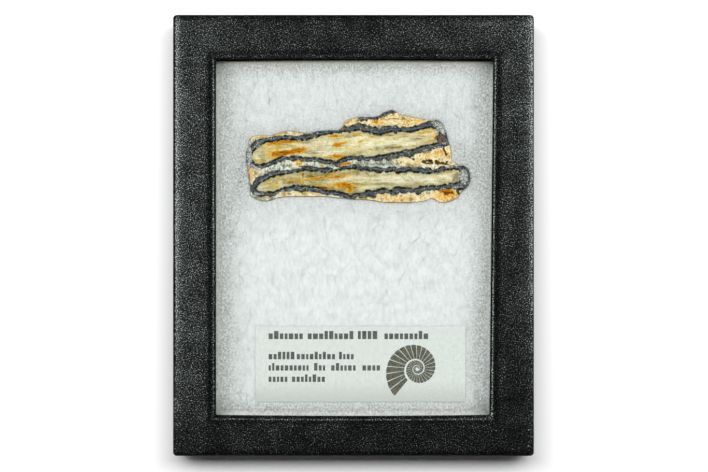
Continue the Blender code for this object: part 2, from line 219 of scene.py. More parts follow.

# Stains, and frost with painted glints: x, y, half length, half width in millimetres, turn in degrees,
# strength.
STAINS = {
    "rust": (
        (-23.4, 26.0, 3.2, 0.85, 5, 1.1), (-20.6, 26.5, 2.4, 0.55, 6, 1.0),
        (-17.3, 27.1, 2.2, 0.8, 4, 1.05), (-25.6, 29.4, 1.8, 0.5, 12, 0.9),
        (-21.3, 29.9, 3.2, 0.5, 3, 0.95), (-5.2, 28.8, 1.3, 0.65, 4, 1.0),
        (-3.2, 29.3, 1.3, 0.4, 12, 0.45), (-5.9, 31.6, 1.5, 0.5, 0, 0.75),
        (-5.0, 25.1, 2.5, 0.6, 3, 0.95), (7.1, 36.3, 0.9, 0.8, 0, 0.7),
        (20.4, 36.8, 1.3, 0.4, -5, 0.35), (-4.6, 22.2, 0.9, 0.65, 20, 1.15),
        (-2.1, 22.8, 1.7, 0.4, 8, 0.9), (-11.6, 18.2, 2.6, 0.35, 8, 0.7),
        (-16.9, 17.6, 3.0, 0.3, 2, 0.6), (-5.2, 18.7, 3.8, 0.5, 5, 0.65),
        (-3.0, 16.1, 3.3, 0.9, 0, 0.8), (-1.1, 14.7, 0.9, 1.0, 10, 0.8),
        (-9.8, 15.2, 2.2, 0.6, -6, 1.0), (-16.0, 13.9, 1.5, 0.5, 0, 0.75),
        (29.8, 14.0, 2.6, 0.8, -10, 1.1), (29.4, 13.2, 1.3, 0.8, 0, 0.75),
        (30.0, 25.9, 0.4, 0.3, 30, 0.8), (-24.5, 15.7, 0.8, 0.6, 0, 0.4),
    ),
    "gold": (
        (-24.1, 28.1, 0.5, 1.3, 0, 1.0), (-25.0, 27.4, 5.0, 1.5, 2, 0.45),
        (-25.6, 24.9, 2.2, 0.8, 5, 0.7), (-7.4, 19.5, 2.6, 0.45, 5, 0.6),
        (-30.0, 22.9, 1.6, 0.6, 10, 0.5), (1.1, 32.2, 1.6, 0.4, 0, 0.9),
        (2.3, 29.9, 1.0, 0.35, 25, 0.85), (-8.9, 24.7, 0.6, 0.3, 0, 0.7),
        (22.6, 32.8, 2.7, 0.5, 6, 0.8), (25.2, 30.2, 1.4, 0.3, 3, 0.9),
        (24.5, 29.5, 1.4, 0.25, 0, 0.6), (21.2, 29.4, 1.6, 0.25, 0, 0.35),
        (-17.5, 23.0, 1.3, 0.8, 0, 1.0), (-10.0, 21.9, 1.3, 0.5, 0, 0.6),
        (-16.1, 17.0, 0.28, 3.6, 0, 0.9), (-24.3, 17.0, 0.5, 1.2, 0, 0.5),
        (-5.2, 15.5, 1.4, 0.3, 0, 0.6), (29.6, 20.2, 1.2, 0.4, 0, 0.9), (4.3, 12.7, 1.7, 0.45, 0, 1.0),
        (27.2, 14.8, 1.8, 0.4, 0, 1.0), (27.6, 25.6, 2.4, 1.3, 0, 0.5), (10.3, 36.9, 1.7, 0.3, 3, 0.8),
        (-17.8, 32.5, 2.5, 0.35, 0, 0.4), (-23.6, 32.3, 2.2, 0.4, 12, 0.6),
        (-28.6, 31.1, 1.6, 0.4, 5, 0.5), (-13.8, 20.0, 1.4, 0.5, 0, 0.35),
        (-15.4, 14.0, 1.7, 0.5, 0, 0.6),
    ),
    "warm": (
        (27.7, 26.4, 2.6, 1.2, 0, 0.8), (29.6, 12.5, 4.0, 1.7, 0, 0.85),
        (16.2, 11.6, 1.6, 0.6, 0, 0.6), (24.0, 11.6, 2.0, 0.6, 0, 0.4), (7.0, 36.0, 2.2, 0.9, 0, 0.8),
        (22.6, 36.2, 2.0, 0.5, -6, 0.7), (-17.0, 32.6, 2.6, 0.5, 0, 0.5),
        (-20.0, 13.1, 3.5, 0.5, 0, 0.4), (20.4, 36.7, 2.2, 0.6, 0, 0.6),
        (-32.6, 19.3, 0.8, 2.3, 5, 0.95), (22.0, 31.6, 3.6, 0.8, 4, 0.4),
        (26.0, 31.6, 1.6, 1.2, 0, 0.4),
    ),
    "brown": (
        (-33.2, 19.0, 0.35, 2.7, 5, 0.6), (26.8, 31.0, 0.9, 0.8, 0, 1.0),
        (28.4, 29.8, 1.5, 0.5, 0, 1.0), (33.2, 14.2, 0.6, 1.0, -10, 1.5),
        (33.9, 12.8, 0.3, 0.9, 30, 1.2), (-16.5, 21.9, 1.6, 0.35, 0, 0.7),
        (28.65, 27.6, 0.38, 0.5, 0, 1.2), (28.95, 26.95, 0.22, 0.55, 25, 1.1),
        (29.25, 26.3, 0.26, 0.5, 20, 1.2), (29.45, 25.75, 0.42, 0.42, 0, 1.3),
        (19.06, 24.25, 0.42, 0.3, -25, 1.2), (18.4, 24.5, 0.5, 0.2, 0, 0.6),
        (21.1, 25.4, 0.3, 0.25, 0, 0.6), (22.3, 23.45, 0.5, 0.44, 0, 1.2),
        (23.3, 23.95, 0.5, 0.26, 8, 1.1), (24.5, 23.85, 0.6, 0.36, -12, 1.4),
        (25.0, 23.15, 0.34, 0.5, 0, 1.3), (23.9, 22.86, 1.2, 0.26, 0, 1.3),
        (24.1, 23.4, 0.6, 0.34, 0, 0.75), (22.9, 23.3, 0.4, 0.4, 0, 0.7),
        (26.4, 23.7, 0.36, 0.4, 0, 1.3), (26.15, 23.2, 0.28, 0.55, 0, 1.2),
        (26.8, 22.7, 0.46, 0.32, 0, 1.3), (27.2, 23.2, 0.38, 0.36, 0, 1.2),
        (26.75, 23.2, 0.3, 0.4, 0, 0.7), (27.75, 22.9, 0.6, 0.28, -8, 1.3),
        (28.45, 23.1, 0.5, 0.34, 10, 1.3), (28.95, 22.62, 0.6, 0.2, -8, 1.1),
        (29.65, 23.25, 0.55, 0.32, 48, 1.4), (29.95, 22.5, 0.38, 0.24, 0, 1.1),
        (28.6, 31.6, 0.5, 1.8, 8, 0.7), (1.6, 13.2, 2.4, 0.5, 0, 0.8),
        (12.6, 37.1, 3.2, 0.14, -1, 0.8), (-33.0, 30.4, 0.25, 0.5, 0, 0.9),
        (-16.1, 19.0, 0.22, 1.2, 0, 0.7), (31.0, 23.2, 0.5, 0.4, 0, 0.6),
    ),
    "grey": (
        (9.3, 27.6, 5.0, 0.9, 2, 0.62), (3.4, 13.1, 3.0, 0.9, 0, 1.2), (14.0, 28.0, 3.0, 0.5, 6, 0.6),
        (8.6, 16.3, 4.2, 0.6, 0, 0.7), (-1.0, 26.2, 4.0, 0.4, 0, 0.4),
        (-27.0, 17.6, 3.0, 0.8, 15, 0.35), (-12.0, 19.6, 5.0, 0.5, 0, 0.5),
        (8.5, 22.7, 6.0, 0.7, 0, 0.6), (30.0, 17.0, 3.0, 0.8, 0, 0.4), (32.8, 18.6, 1.8, 1.8, 0, 1.0),
        (18.0, 15.9, 4.5, 0.5, 0, 0.55), (29.5, 20.3, 2.6, 0.4, 5, 0.6),
        (-1.5, 31.6, 3.2, 0.6, 0, 0.8), (-14.0, 24.4, 1.2, 0.3, 0, 0.3),
        (-20.0, 16.6, 2.0, 0.6, 0, 0.45), (-30.0, 12.2, 2.6, 0.6, 0, 0.8),
        (0.5, 20.3, 3.0, 0.35, 0, 0.3), (15.0, 18.2, 9.0, 1.3, 0, 0.34),
        (-21.0, 17.4, 6.0, 1.2, 10, 0.3), (-4.0, 17.8, 6.0, 0.9, 0, 0.32),
    ),
    "umber": (
        (27.6, 31.0, 1.7, 0.7, -48, 0.85), (29.2, 29.9, 1.2, 0.5, 0, 0.6),
        (28.9, 31.4, 0.5, 0.7, 10, 0.6), (6.9, 37.9, 1.6, 0.5, 10, 0.6),
        (9.6, 38.8, 0.9, 0.4, 20, 0.5), (-32.9, 30.2, 0.3, 0.8, 0, 0.6),
        (-4.3, 22.4, 0.8, 0.3, 15, 0.5),
    ),
    # Whitish chipped places, and painted glints along the enamel's rounded left end.
    "frost_and_glint": (
        (-33.1, 25.0, 0.9, 2.4, 0, 1.4), (-31.0, 28.7, 1.7, 0.14, 47, 1.7),
        (-30.3, 28.4, 1.3, 0.12, 47, 1.3), (-33.2, 27.6, 0.6, 0.8, 0, 0.9),
        (-31.5, 21.9, 2.6, 0.3, -24, 1.4), (26.8, 35.2, 2.0, 1.0, -20, 1.15),
        (28.6, 33.0, 0.8, 1.3, 15, 1.15), (28.9, 29.4, 1.5, 0.5, 0, 0.9),
        (34.2, 18.9, 1.3, 1.7, 0, 0.5), (3.4, 37.3, 1.5, 0.4, 0, 0.9), (27.3, 33.6, 0.9, 0.8, 0, 0.9),
        (26.5, 28.0, 1.6, 0.4, 8, 0.7), (22.9, 27.1, 1.3, 0.3, 12, 0.9),
        (35.3, 18.6, 1.2, 2.2, 0, 1.5), (33.0, 15.4, 1.8, 0.4, 8, 1.0),
        (-30.8, 13.2, 1.6, 0.6, 0, 1.0), (-24.4, 13.5, 0.5, 0.4, 0, 0.9),
        (-11.6, 32.6, 1.0, 0.5, 0, 0.7), (8.4, 22.3, 0.7, 0.7, 0, 0.6), (12.5, 24.4, 2.0, 0.4, 0, 0.5),
        (32.6, 21.8, 1.8, 0.4, 0, 0.5), (3.9, 24.1, 1.6, 0.3, 0, 0.5), (18.8, 23.2, 2.6, 0.6, 0, 0.3),
        (-22.5, 14.0, 0.8, 0.35, 0, 0.9),
    ),
}
# Where the cement is ochre, and where the dentine is olive or pale, laid out as the stains are.
GROUNDS = {
    "ochre": (
        (24.0, 24.5, 8.0, 3.0, 0, 1.1), (30.0, 26.0, 3.0, 3.0, 0, 1.0), (8.0, 36.6, 14.0, 1.8, 8, 1.2),
        (10.0, 38.5, 4.0, 1.0, 15, 1.0), (22.0, 37.0, 7.0, 1.2, -6, 1.0),
        (-16.0, 12.8, 9.0, 1.2, 0, 1.0), (14.0, 11.6, 16.0, 1.8, 0, 1.2),
        (29.5, 12.5, 5.5, 2.2, 0, 1.3), (-17.5, 22.9, 2.0, 1.2, 0, 0.9),
        (-21.0, 32.4, 6.0, 0.9, 3, 0.8), (-28.5, 12.0, 3.0, 0.9, 0, 0.4),
        (-1.8, 36.2, 1.8, 1.6, 0, 0.9), (17.5, 35.6, 5.5, 1.7, 0, 1.0), (16.5, 23.8, 4.0, 1.6, 0, 0.5),
        (-30.0, 31.6, 3.6, 0.9, 8, 1.0), (-31.0, 20.0, 2.2, 2.2, 0, 0.55),
        (-17.5, 23.2, 6.0, 0.9, 0, 0.2),
    ),
    "olive": (
        (-17.0, 17.0, 8.0, 2.4, 0, 0.7), (-9.5, 19.3, 7.0, 1.2, 0, 0.9), (1.5, 19.9, 5.0, 0.8, 0, 0.8),
        (-8.5, 15.2, 5.5, 1.0, -4, 1.2), (-1.0, 14.4, 3.0, 1.2, 0, 1.0),
        (-27.0, 16.2, 4.0, 1.6, 15, 0.3), (-20.0, 19.0, 3.2, 0.7, 10, 0.9),
        (28.5, 20.0, 3.2, 0.7, 4, 1.2), (23.5, 29.5, 3.5, 0.6, 8, 0.6), (-1.0, 31.8, 3.2, 0.7, 0, 0.7),
        (5.0, 19.5, 3.0, 0.6, 0, 0.5), (22.0, 19.6, 3.0, 0.4, 0, 0.5), (-22.0, 30.2, 5.0, 0.6, 2, 1.0),
        (-30.0, 24.0, 2.6, 1.0, 15, 0.7), (10.0, 27.6, 8.0, 0.9, 3, 0.6),
        (0.5, 26.2, 6.0, 0.7, 0, 0.5), (12.0, 16.2, 10.0, 0.6, 0, 0.6),
        (-29.5, 26.0, 2.4, 2.4, 0, 0.5), (-26.0, 23.9, 4.0, 1.0, 10, 0.5),
        (8.5, 32.0, 3.0, 0.5, 0, 0.5),
    ),
    "pale": (
        (20.0, 17.9, 17.0, 2.4, 0, 1.0), (6.0, 19.9, 7.0, 0.6, 0, 0.5),
        (-10.5, 27.8, 5.5, 2.2, 0, 1.0), (14.0, 29.5, 11.0, 2.0, 6, 0.5),
        (-4.0, 17.4, 5.0, 0.6, 3, 0.9), (19.5, 31.0, 6.0, 1.0, 6, 0.6),
        (-13.5, 27.7, 3.5, 3.0, 0, 0.6), (-31.3, 26.6, 2.4, 1.6, 0, 0.8),
        (-29.6, 15.3, 1.8, 1.3, 0, 0.9),
    ),
}
# Hollows in the polished face: x, y, half length, half width, turn, depth.
PITS = (
    (22.5, 23.4, 0.9, 0.5, 10, 0.7), (24.3, 23.5, 1.0, 0.55, -8, 0.8),
    (26.8, 23.3, 0.8, 0.5, -25, 0.7), (28.2, 22.8, 0.9, 0.4, -5, 0.6),
    (29.6, 22.8, 0.8, 0.35, 35, 0.6), (18.9, 24.3, 0.35, 0.3, 0, 0.4),
    (29.1, 26.7, 0.9, 0.22, -66, 0.5), (27.9, 31.4, 1.1, 0.8, -55, 0.4),
    (33.2, 14.2, 0.35, 0.7, 0, 0.5), (35.4, 19.6, 0.7, 0.6, 30, 0.25), (34.9, 17.2, 0.6, 0.7, 0, 0.3),
    (29.0, 33.6, 0.7, 0.6, 0, 0.3), (26.3, 35.9, 0.8, 0.4, 0, 0.25), (-33.2, 26.5, 0.4, 0.6, 0, 0.2),
    (-32.9, 23.3, 0.4, 0.4, 0, 0.2),
)

# How the slice is laid out, in millimetres.
LOOP_STEP = 0.05  # between the points that distances are taken from
OUTLINE_STEP = 0.2
FACE_STEP = 0.18
BACK_STEP = 0.72
SPAN_STEPS = 12  # of a smooth loop, between two of its given points
LOOP_NORMALS = 3  # neighbours that normals are smoothed over, for distances
EDGE_NORMALS = 5  # and for the slice's edge
LATTICE_ROOM = 0.55  # left free inside a filled loop, as a share of the step
# Its rim: how far down, as a share of the thickness, and how far out in millimetres.
SLICE_RIM = (
    (0.0, -0.12), (0.02, -0.04), (0.05, 0.0), (0.22, 0.0), (0.45, -0.05), (0.68, -0.15),
    (0.88, -0.35), (0.97, -0.6), (1.0, -0.9),
)
FIRST_RINGS = (0.0, 0.006, 0.02, 0.04)
LATER_RINGS = np.linspace(0.07, 1.0, 20)
NOISE_SHIFT = (1.0, 0.7, -0.3)  # the way in which offsets move layers of noise
# Layers of noise, in millimetres: height, size, offset.
EDGE_RAGGED = ((0.14, 0.9, 0.0), (0.07, 0.4, 5.0))
RIM_LUMPS = ((0.3, 3.2, 0.0), (0.18, 1.1, 0.0), (0.07, 0.45, 0.0))
SWELL_END = 0.98  # how far down the rim its lumps stop dying away
RIM_DRAW = 0.35  # how far the rim is drawn in, so that its lumps stay inside
EDGE_WEAR = 0.05
EDGE_WEAR_REACH = 0.4
FACE_WAVE = ((0.02, 2.5, 0.0),)
FACE_SINK = 0.02
# How a soft ellipse falls away round its middle.
BLOT_FALL = 0.9
BLOT_POWER = 1.3
# A hollow's side: its soft ellipse is made steeper, and cut off below an edge.
PIT_STEEPNESS = 2.2
PIT_EDGE = 0.9
# What a Delaunay triangulation covers, and how near, in millimetres, points count as one.
WHOLE_HULL, INSIDE_LOOPS = 0, 1
NEARNESS = 1e-6

# The batting's top.
BATTING_STEP = 0.42 * MM
BATTING_TOP = 14.15 * MM
EDGE_DROP = 4.2 * MM
EDGE_REACH = 4.0 * MM
EDGE_POWER = 1.3
POCKET_DIP = 0.5 * MM
POCKET_REACH = 1.8 * MM
POCKET_POWER = 1.5
POCKET_ROOM = 0.05  # in millimetres
POCKET_CLEAR = 0.35 * MM  # between the pocket's rim and the lattice round it
LABEL_CLEAR = 0.2 * MM
LABEL_EDGES = (-0.1 * MM, 0.08 * MM)  # rows of points just inside and just outside the label
LABEL_SINK = 0.25 * MM  # how far below the label the batting lies
LABEL_STEP = 0.16 * MM  # how wide the slope is beside it
# Its tufts in millimetres, as noise: height, size, offset, and how far its length is drawn out.
TUFTS = ((0.1, 0.8 * MM, 0.0, 0.5), (0.14, 2.4 * MM, 3.0, 1.0))
TUFT_SINK = 0.12

# Where painted shade greys the batting, warms it or darkens it.
SHADE_REACHES = (5.3 * MM, 4.2 * MM, 3.3 * MM, 3.8 * MM)  # left, right, bottom, top
GREY_ABOVE = 0.15  # the share by which the batting is painted greyer over its upper part
ABOVE_BLEND = (-2.0 * MM, 10.0 * MM)
SHADE_START = 1.3 * MM
POCKET_SHADE = ((0.3, 1.5 * MM, 1.0), (0.2, 6.0 * MM, 2.0))  # painted shade round the slice: share, reach, power
SPECKLED_REACH = 7.0 * MM
SPECKLED_START = 1.4
SPECKLED_LEAST = 0.15
# How strong the painted warm bounce light, a beige tint, is at most.
BEIGE = 0.8
# Painted warm bounce light in the shade along the window's left, bottom and top edges, as beige: share,
# place, reach.
BEIGE_EDGES = ((0.12, 0.0, 1.6 * MM), (0.4, 0.0, 0.5 * MM), (1.0, 1.1 * MM, 0.4 * MM))
# Painted shadow below the window's upper edge: how far it reaches, and how far it blends.
HEAD_SHADE = 0.67 * MM
HEAD_BLEND = 0.3 * MM
CORNER_SHADES = (0.55, 0.55, 0.38, 0.45)  # painted shade in the window's corners: upper left, upper right, lower left, lower right
CORNER_REACH = 5.0 * MM
# Painted shade in it, beside the slice and along the window's edges, laid out as the stains are.
BATTING_SHADES = (
    (-36.0, 20.5, 2.6, 9.0, 0, 0.75), (38.5, 20.0, 3.2, 7.5, 0, 0.62), (34.0, 26.5, 2.6, 3.2, 0, 0.6),
    (40.0, -38.0, 9.0, 16.0, 0, 0.3), (-38.0, -38.0, 5.0, 14.0, 0, 0.12),
    (42.0, 46.0, 5.0, 13.0, 0, 0.3), (41.5, 30.0, 2.9, 19.0, 0, 0.6),
    (41.3, -34.0, 3.0, 18.0, 0, 0.62), (-41.3, 32.0, 2.8, 20.0, 0, 0.45),
    (-41.8, -38.0, 2.6, 14.0, 0, 0.3),
)

# Loose fibres on the batting.
FIBRE_SEED = 11
FIBRES = 900
FIBRE_POINTS = 12
FIBRE_LENGTHS = (4.0 * MM, 13.0 * MM)
FIBRE_RADIUS = 0.045 * MM
FIBRE_SPREAD = 0.45  # of their headings about the batting's length, in radians
FIBRE_WANDER = 0.16
FIBRE_TAPER = 0.25
FIBRE_ARCHES = (0.02, 0.22)  # how high they arch, in millimetres
FIBRE_LIFT = 0.02
FIBRE_ROOM = 0.4 * MM  # kept free round the slice and the label
FIBRE_MARGIN = 1.5 * MM
FIBRE_CEILING = 14.4 * MM
FIBRE_SHADE_SHARE = 0.45

# The label's print in millimetres: each row's foot and height, its blocks' width, its words.
PRINT_SEED = 7
PRINT_LEFT = -27.0
PRINT_LINES = (
    (-33.0, 2.6, 1.25, (11.5, 15.0, 7.5, 14.0)),
    (-39.4, 2.4, 0.95, (8.0, 12.5, 5.0)),
    (-43.0, 2.4, 0.95, (13.5, 4.5, 9.0, 6.0)),
    (-46.6, 2.4, 0.95, (6.5, 11.0)),
)
BLOCK_WIDTHS = (0.75, 1.25)
BLOCK_GAP = 0.4
WORD_GAP = 0.95
TALL_SHARE = 0.25
LOW_HEIGHT = 0.7
CARD_CORNER = 0.3
# The coiled shell beside it: its turns are in radians, and its ribs' in degrees.
SHELL_PLACE = (20.2, -42.4)
SHELL_SIZE = 11.0
SHELL_TURNS = 16.5
SHELL_GROWTH = 0.165
SHELL_HOLLOW = 0.42
SHELL_RIBS = 68
RIB_TURN = 14.0
RIB_WIDTH = 12.6
RIB_CROWN = 1.03

# Lights, each aimed at the case: name, place, sides and power.
LIGHTS = (
    ("overhead", (0.0, 0.25, 1.0), (0.9, 0.29), 12.0),
    ("left_fill", (-0.8, 0.45, 0.95), (0.6, 0.4), 1.8),
    ("right_fill", (0.8, 0.45, 0.95), (0.6, 0.4), 1.5),
    ("back_fill", (0.0, 0.9, 0.95), (0.7, 0.5), 1.6),
    ("front_fill", (0.0, -0.8, 0.95), (0.6, 0.4), 0.4),
)
AMBIENT = 0.03
FLOOR_REACH = 4.0
FLOOR_DROP = 0.02 * MM


# ---- points and loops ----


def smooth_loop(points, step):
    """Points about a step apart along the closed Catmull-Rom curve through the given ones."""
    given = np.array(points, dtype=float)
    shares = np.linspace(0.0, 1.0, SPAN_STEPS, endpoint=False)[:, None]
    before, after, beyond = (np.roll(given, turn, axis=0) for turn in (1, -1, -2))
    spans = [
        0.5 * (2 * b + (c - a) * shares + (2 * a - 5 * b + 4 * c - d) * shares**2
               + (3 * b - a - 3 * c + d) * shares**3)
        for a, b, c, d in zip(before, given, after, beyond)
    ]
    dense = np.vstack(spans + [given[:1]])
    along = np.concatenate([[0.0], np.cumsum(np.linalg.norm(np.diff(dense, axis=0), axis=1))])
    places = np.linspace(0.0, along[-1], round(along[-1] / step), endpoint=False)
    return np.column_stack([np.interp(places, along, dense[:, k]) for k in (0, 1)])


def outward_normals(loop, reach):
    """Unit normals of a clockwise loop, smoothed over some neighbours, pointing outwards."""
    run = np.roll(loop, -reach, axis=0) - np.roll(loop, reach, axis=0)
    run /= np.linalg.norm(run, axis=1)[:, None]
    return np.column_stack([-run[:, 1], run[:, 0]])


def signed_distance(points, loop):
    """How far, in millimetres, points lie inside a clockwise loop; negative outside it."""
    dense = smooth_loop(loop, LOOP_STEP)
    normals = outward_normals(dense, LOOP_NORMALS)
    tree = kdtree.KDTree(len(dense))
    for k, place in enumerate(dense):
        tree.insert((*place, 0.0), k)
    tree.balance()
    found = [tree.find((x, y, 0.0)) for x, y in points]
    nearest = [k for _, k, _ in found]
    away = np.array([distance for _, _, distance in found])
    outward = ((points - dense[nearest]) * normals[nearest]).sum(axis=1)
    return np.where(outward > 0.0, -away, away)


def slice_away(points):
    """How far outside the slice's outline points lie."""
    return -signed_distance(points / MM, SLICE_OUTLINE) * MM


def rising(values, start, reach):
    """0 up to the start, then rising evenly to 1 over the reach."""
    return np.clip((values - start) / reach, 0.0, 1.0)


def bell(distance, reach, power=2.0):
    """1 where the distance is 0, falling away over the reach."""
    return np.exp(-((np.abs(distance) / reach) ** power))


def blots(points, shapes):
    """The summed strength, at each point in millimetres, of soft turned ellipses."""
    total = np.zeros(len(points))
    for x, y, length, width, turn, strength in shapes:
        angle = math.radians(turn)
        dx, dy = points[:, 0] - x, points[:, 1] - y
        along = (dx * math.cos(angle) + dy * math.sin(angle)) / length
        across = (dy * math.cos(angle) - dx * math.sin(angle)) / width
        total += strength * np.exp(-BLOT_FALL * (along**2 + across**2) ** BLOT_POWER)
    return total


def layered(points, layers):
    """The sum of layers of Perlin noise, each of a height, a size and an offset."""
    total = np.zeros(len(points))
    for height, size, offset in layers:
        shift = Vector([offset * share for share in NOISE_SHIFT])
        total += height * np.array([noise.noise(Vector(point) / size + shift) for point in points])
    return total


def raised(flat, heights):
    """Flat points with a height, or a height each, beside their other numbers."""
    return np.column_stack([flat, np.broadcast_to(heights, len(flat))])


def lattice(low, high, step):
    """Points of a triangular lattice over a rectangle."""
    rows = []
    for j, y in enumerate(np.arange(low[1], high[1], step * math.sqrt(0.75))):
        rows.append(raised(np.arange(low[0] + 0.5 * step * (j % 2), high[0], step), y))
    return np.vstack(rows)


def triangulated(points, count, cover, nearness):
    """Points and triangles over flat points, the first of which make a closed loop of edges."""
    edges = [(i, (i + 1) % count) for i in range(count)]
    flat = [Vector(point) for point in points]
    made = geometry.delaunay_2d_cdt(flat, edges, [], cover, nearness)
    return np.array([tuple(point) for point in made[0]]), made[2]


# ---- meshes ----


def add_piece(name, points, faces, *materials):
    """A smooth-shaded mesh object from points and faces."""
    mesh = bpy.data.meshes.new(name)
    mesh.from_pydata([tuple(point) for point in points], [], [tuple(face) for face in faces])
    mesh.validate()
    for material in materials:
        mesh.materials.append(material)
    mesh.shade_smooth()
    obj = bpy.data.objects.new(name, mesh)
    bpy.context.scene.collection.objects.link(obj)
    return obj


def add_fields(obj, fields):
    """Keeps named numbers for each vertex, for the material to read."""
    for name, values in fields.items():
        field = obj.data.attributes.new(name, "FLOAT", "POINT")
        field.data.foreach_set("value", np.asarray(values, dtype=np.float32))


def wall(upper, lower, count):
    """Quads between two loops of as many points, each loop given by where it starts."""
    ends = [(i, (i + 1) % count) for i in range(count)]
    return [(upper + i, upper + j, lower + j, lower + i) for i, j in ends]


# ---- shaders ----


def srgb(red, green, blue):
    """A colour given as 0 to 255 screen values, as Blender's linear one."""
    linear = []
    for value in (red, green, blue):
        share = value / 255.0
        linear.append(share / 12.92 if share <= 0.04045 else ((share + 0.055) / 1.055) ** 2.4)
    return (*linear, 1.0)


class Shader:
    """Builds one material's nodes, each method returning the socket that holds its result."""

    def __init__(self, name):
        self.material = bpy.data.materials.new(name)
        self.material.use_nodes = True
        self.tree = self.material.node_tree
        self.surface = self.tree.nodes["Principled BSDF"]
        self.output = self.tree.nodes["Material Output"]

    def node(self, kind, inputs=None, **settings):
        made = self.tree.nodes.new(kind)
        for name, value in settings.items():
            setattr(made, name, value)
        for key, value in (inputs or {}).items():
            self.put(made.inputs[key], value)
        return made

    def put(self, socket, value):
        if isinstance(value, bpy.types.NodeSocket):
            self.tree.links.new(value, socket)
        else:
            socket.default_value = value

    def set(self, **inputs):
        """Sets inputs of the Principled shader, named with underscores for spaces."""
        for name, value in inputs.items():
            self.put(self.surface.inputs[name.replace("_", " ")], value)

    def place(self):
        return self.node("ShaderNodeTexCoord").outputs["Object"]

    def field(self, name):
        return self.node("ShaderNodeAttribute", attribute_name=name).outputs["Fac"]

    def math(self, operation, *values):
        return self.node("ShaderNodeMath", dict(enumerate(values)), operation=operation).outputs[0]

    def add(self, first, second):
        return self.math("ADD", first, second)

    def times(self, first, second):
        return self.math("MULTIPLY", first, second)

    def weighted(self, *terms, base=0.0):
        """The sum of values times their weights, and of a base."""
        for value, weight in terms:
            base = self.math("MULTIPLY_ADD", value, weight, base)
        return base

    def step(self, value, low, high):
        """0 below low and 1 above high, smooth between; high may be the lower one."""
        inputs = {"Value": value, "From Min": low, "From Max": high}
        made = self.node("ShaderNodeMapRange", inputs, interpolation_type="SMOOTHSTEP")
        return made.outputs["Result"]

    def stretched(self, vector, scale):
        inputs = {"Vector": vector, "Scale": scale}
        return self.node("ShaderNodeMapping", inputs).outputs["Vector"]

    def noise(self, vector, size, detail=2.0, rough=0.5, result="Fac"):
        inputs = {"Vector": vector, "Scale": 1.0 / size, "Detail": detail, "Roughness": rough}
        return self.node("ShaderNodeTexNoise", inputs).outputs[result]

    def clouds(self, vector, size, detail=2.0, rough=0.5):
        """Three unrelated noises of one size."""
        colour = self.noise(vector, size, detail, rough, "Color")
        return self.node("ShaderNodeSeparateColor", {"Color": colour}).outputs[:3]

    def cells(self, vector, size):
        inputs = {"Vector": vector, "Scale": 1.0 / size}
        return self.node("ShaderNodeTexVoronoi", inputs).outputs["Distance"]

    def blot(self, vector, x, y, length, width, turn, strength):
        """A small soft ellipse, given in millimetres and degrees, that is full at its middle."""
        inputs = {
            "Vector": vector, "Location": (x * MM, y * MM, 0.0),
            "Rotation": (0.0, 0.0, math.radians(turn)), "Scale": (length * MM, width * MM, 1.0),
        }
        made = self.node("ShaderNodeMapping", inputs, vector_type="TEXTURE")
        away = self.node("ShaderNodeVectorMath", {0: made.outputs[0]}, operation="LENGTH")
        return self.times(self.step(away.outputs["Value"], 1.3, 0.5), strength)

    def ramp(self, share, *stops):
        """A colour ramp; each stop is a place and an (r, g, b) screen colour."""
        made = self.node("ShaderNodeValToRGB", {"Fac": share})
        points = made.color_ramp.elements
        while len(points) < len(stops):
            points.new(0.5)
        for point, (place, colour) in zip(points, stops):
            point.position = place
            point.color = srgb(*colour)
        return made.outputs["Color"]

    def mix(self, share, first, second):
        made = self.node("ShaderNodeMix", data_type="RGBA")
        for key, value in ((0, share), (6, first), (7, second)):
            self.put(made.inputs[key], value)
        return made.outputs[2]

    def tinted(self, colour, *layers):
        """Screen colours laid over another one: each one's share, its most, and the colour."""
        for share, most, shade in layers:
            colour = self.mix(self.times(share, most), colour, srgb(*shade))
        return colour

    def bump(self, height, depth, strength):
        inputs = {"Height": height, "Distance": depth, "Strength": strength}
        return self.node("ShaderNodeBump", inputs).outputs["Normal"]


def grained_paper():
    """Black paper embossed with a fine pebbled grain, its crowns painted pale as glints and as wear."""
    paper = Shader("grained_paper")
    place = paper.place()
    grain = paper.noise(place, 0.34 * MM, 1.0, 0.6)
    patch = paper.noise(place, 7.0 * MM)
    # Pale crowns are painted glints and wear; the lid's field adds painted highlights and painted
    # shade.
    glints_and_wear = paper.weighted((grain, 1.0), (paper.field("painted_light"), 0.16), (patch, 0.12), base=-0.06)
    for scuff in SCUFFS:
        glints_and_wear = paper.weighted((paper.blot(place, *scuff), 0.13), base=glints_and_wear)
    colour = paper.ramp(
        glints_and_wear, (0.38, (3, 4, 3)), (0.5, (22, 24, 23)), (0.59, (52, 56, 55)),
        (0.67, (104, 109, 107)), (0.76, (190, 194, 192)),
    )
    height = paper.weighted((grain, 1.0), (paper.cells(place, 0.9 * MM), -0.6))
    paper.set(
        Base_Color=paper.tinted(colour, (paper.blot(place, *TAN_FLECK), 1.0, (50, 45, 30))),
        Roughness=paper.weighted((grain, 0.3), base=0.4),
        Specular_IOR_Level=0.05,
        Normal=paper.bump(height, 0.16 * MM, 0.8),
    )
    return paper.material


def clear_pane():
    """Window glass, which lets light through to what it covers as real glass does."""
    pane = Shader("clear_pane")
    pane.set(Base_Color=(0.97, 0.985, 0.98, 1.0), Roughness=0.0, IOR=1.5, Transmission_Weight=1.0)
    through = pane.node("ShaderNodeBsdfTransparent", {"Color": (0.95, 0.965, 0.96, 1.0)})
    path = pane.node("ShaderNodeLightPath")
    shown = pane.surface.outputs[0]
    for ray in ("Is Shadow Ray", "Is Diffuse Ray"):
        both = pane.node("ShaderNodeMixShader", {0: path.outputs[ray]})
        pane.tree.links.new(shown, both.inputs[1])
        pane.tree.links.new(through.outputs[0], both.inputs[2])
        shown = both.outputs[0]
    pane.tree.links.new(shown, pane.output.inputs["Surface"])
    return pane.material


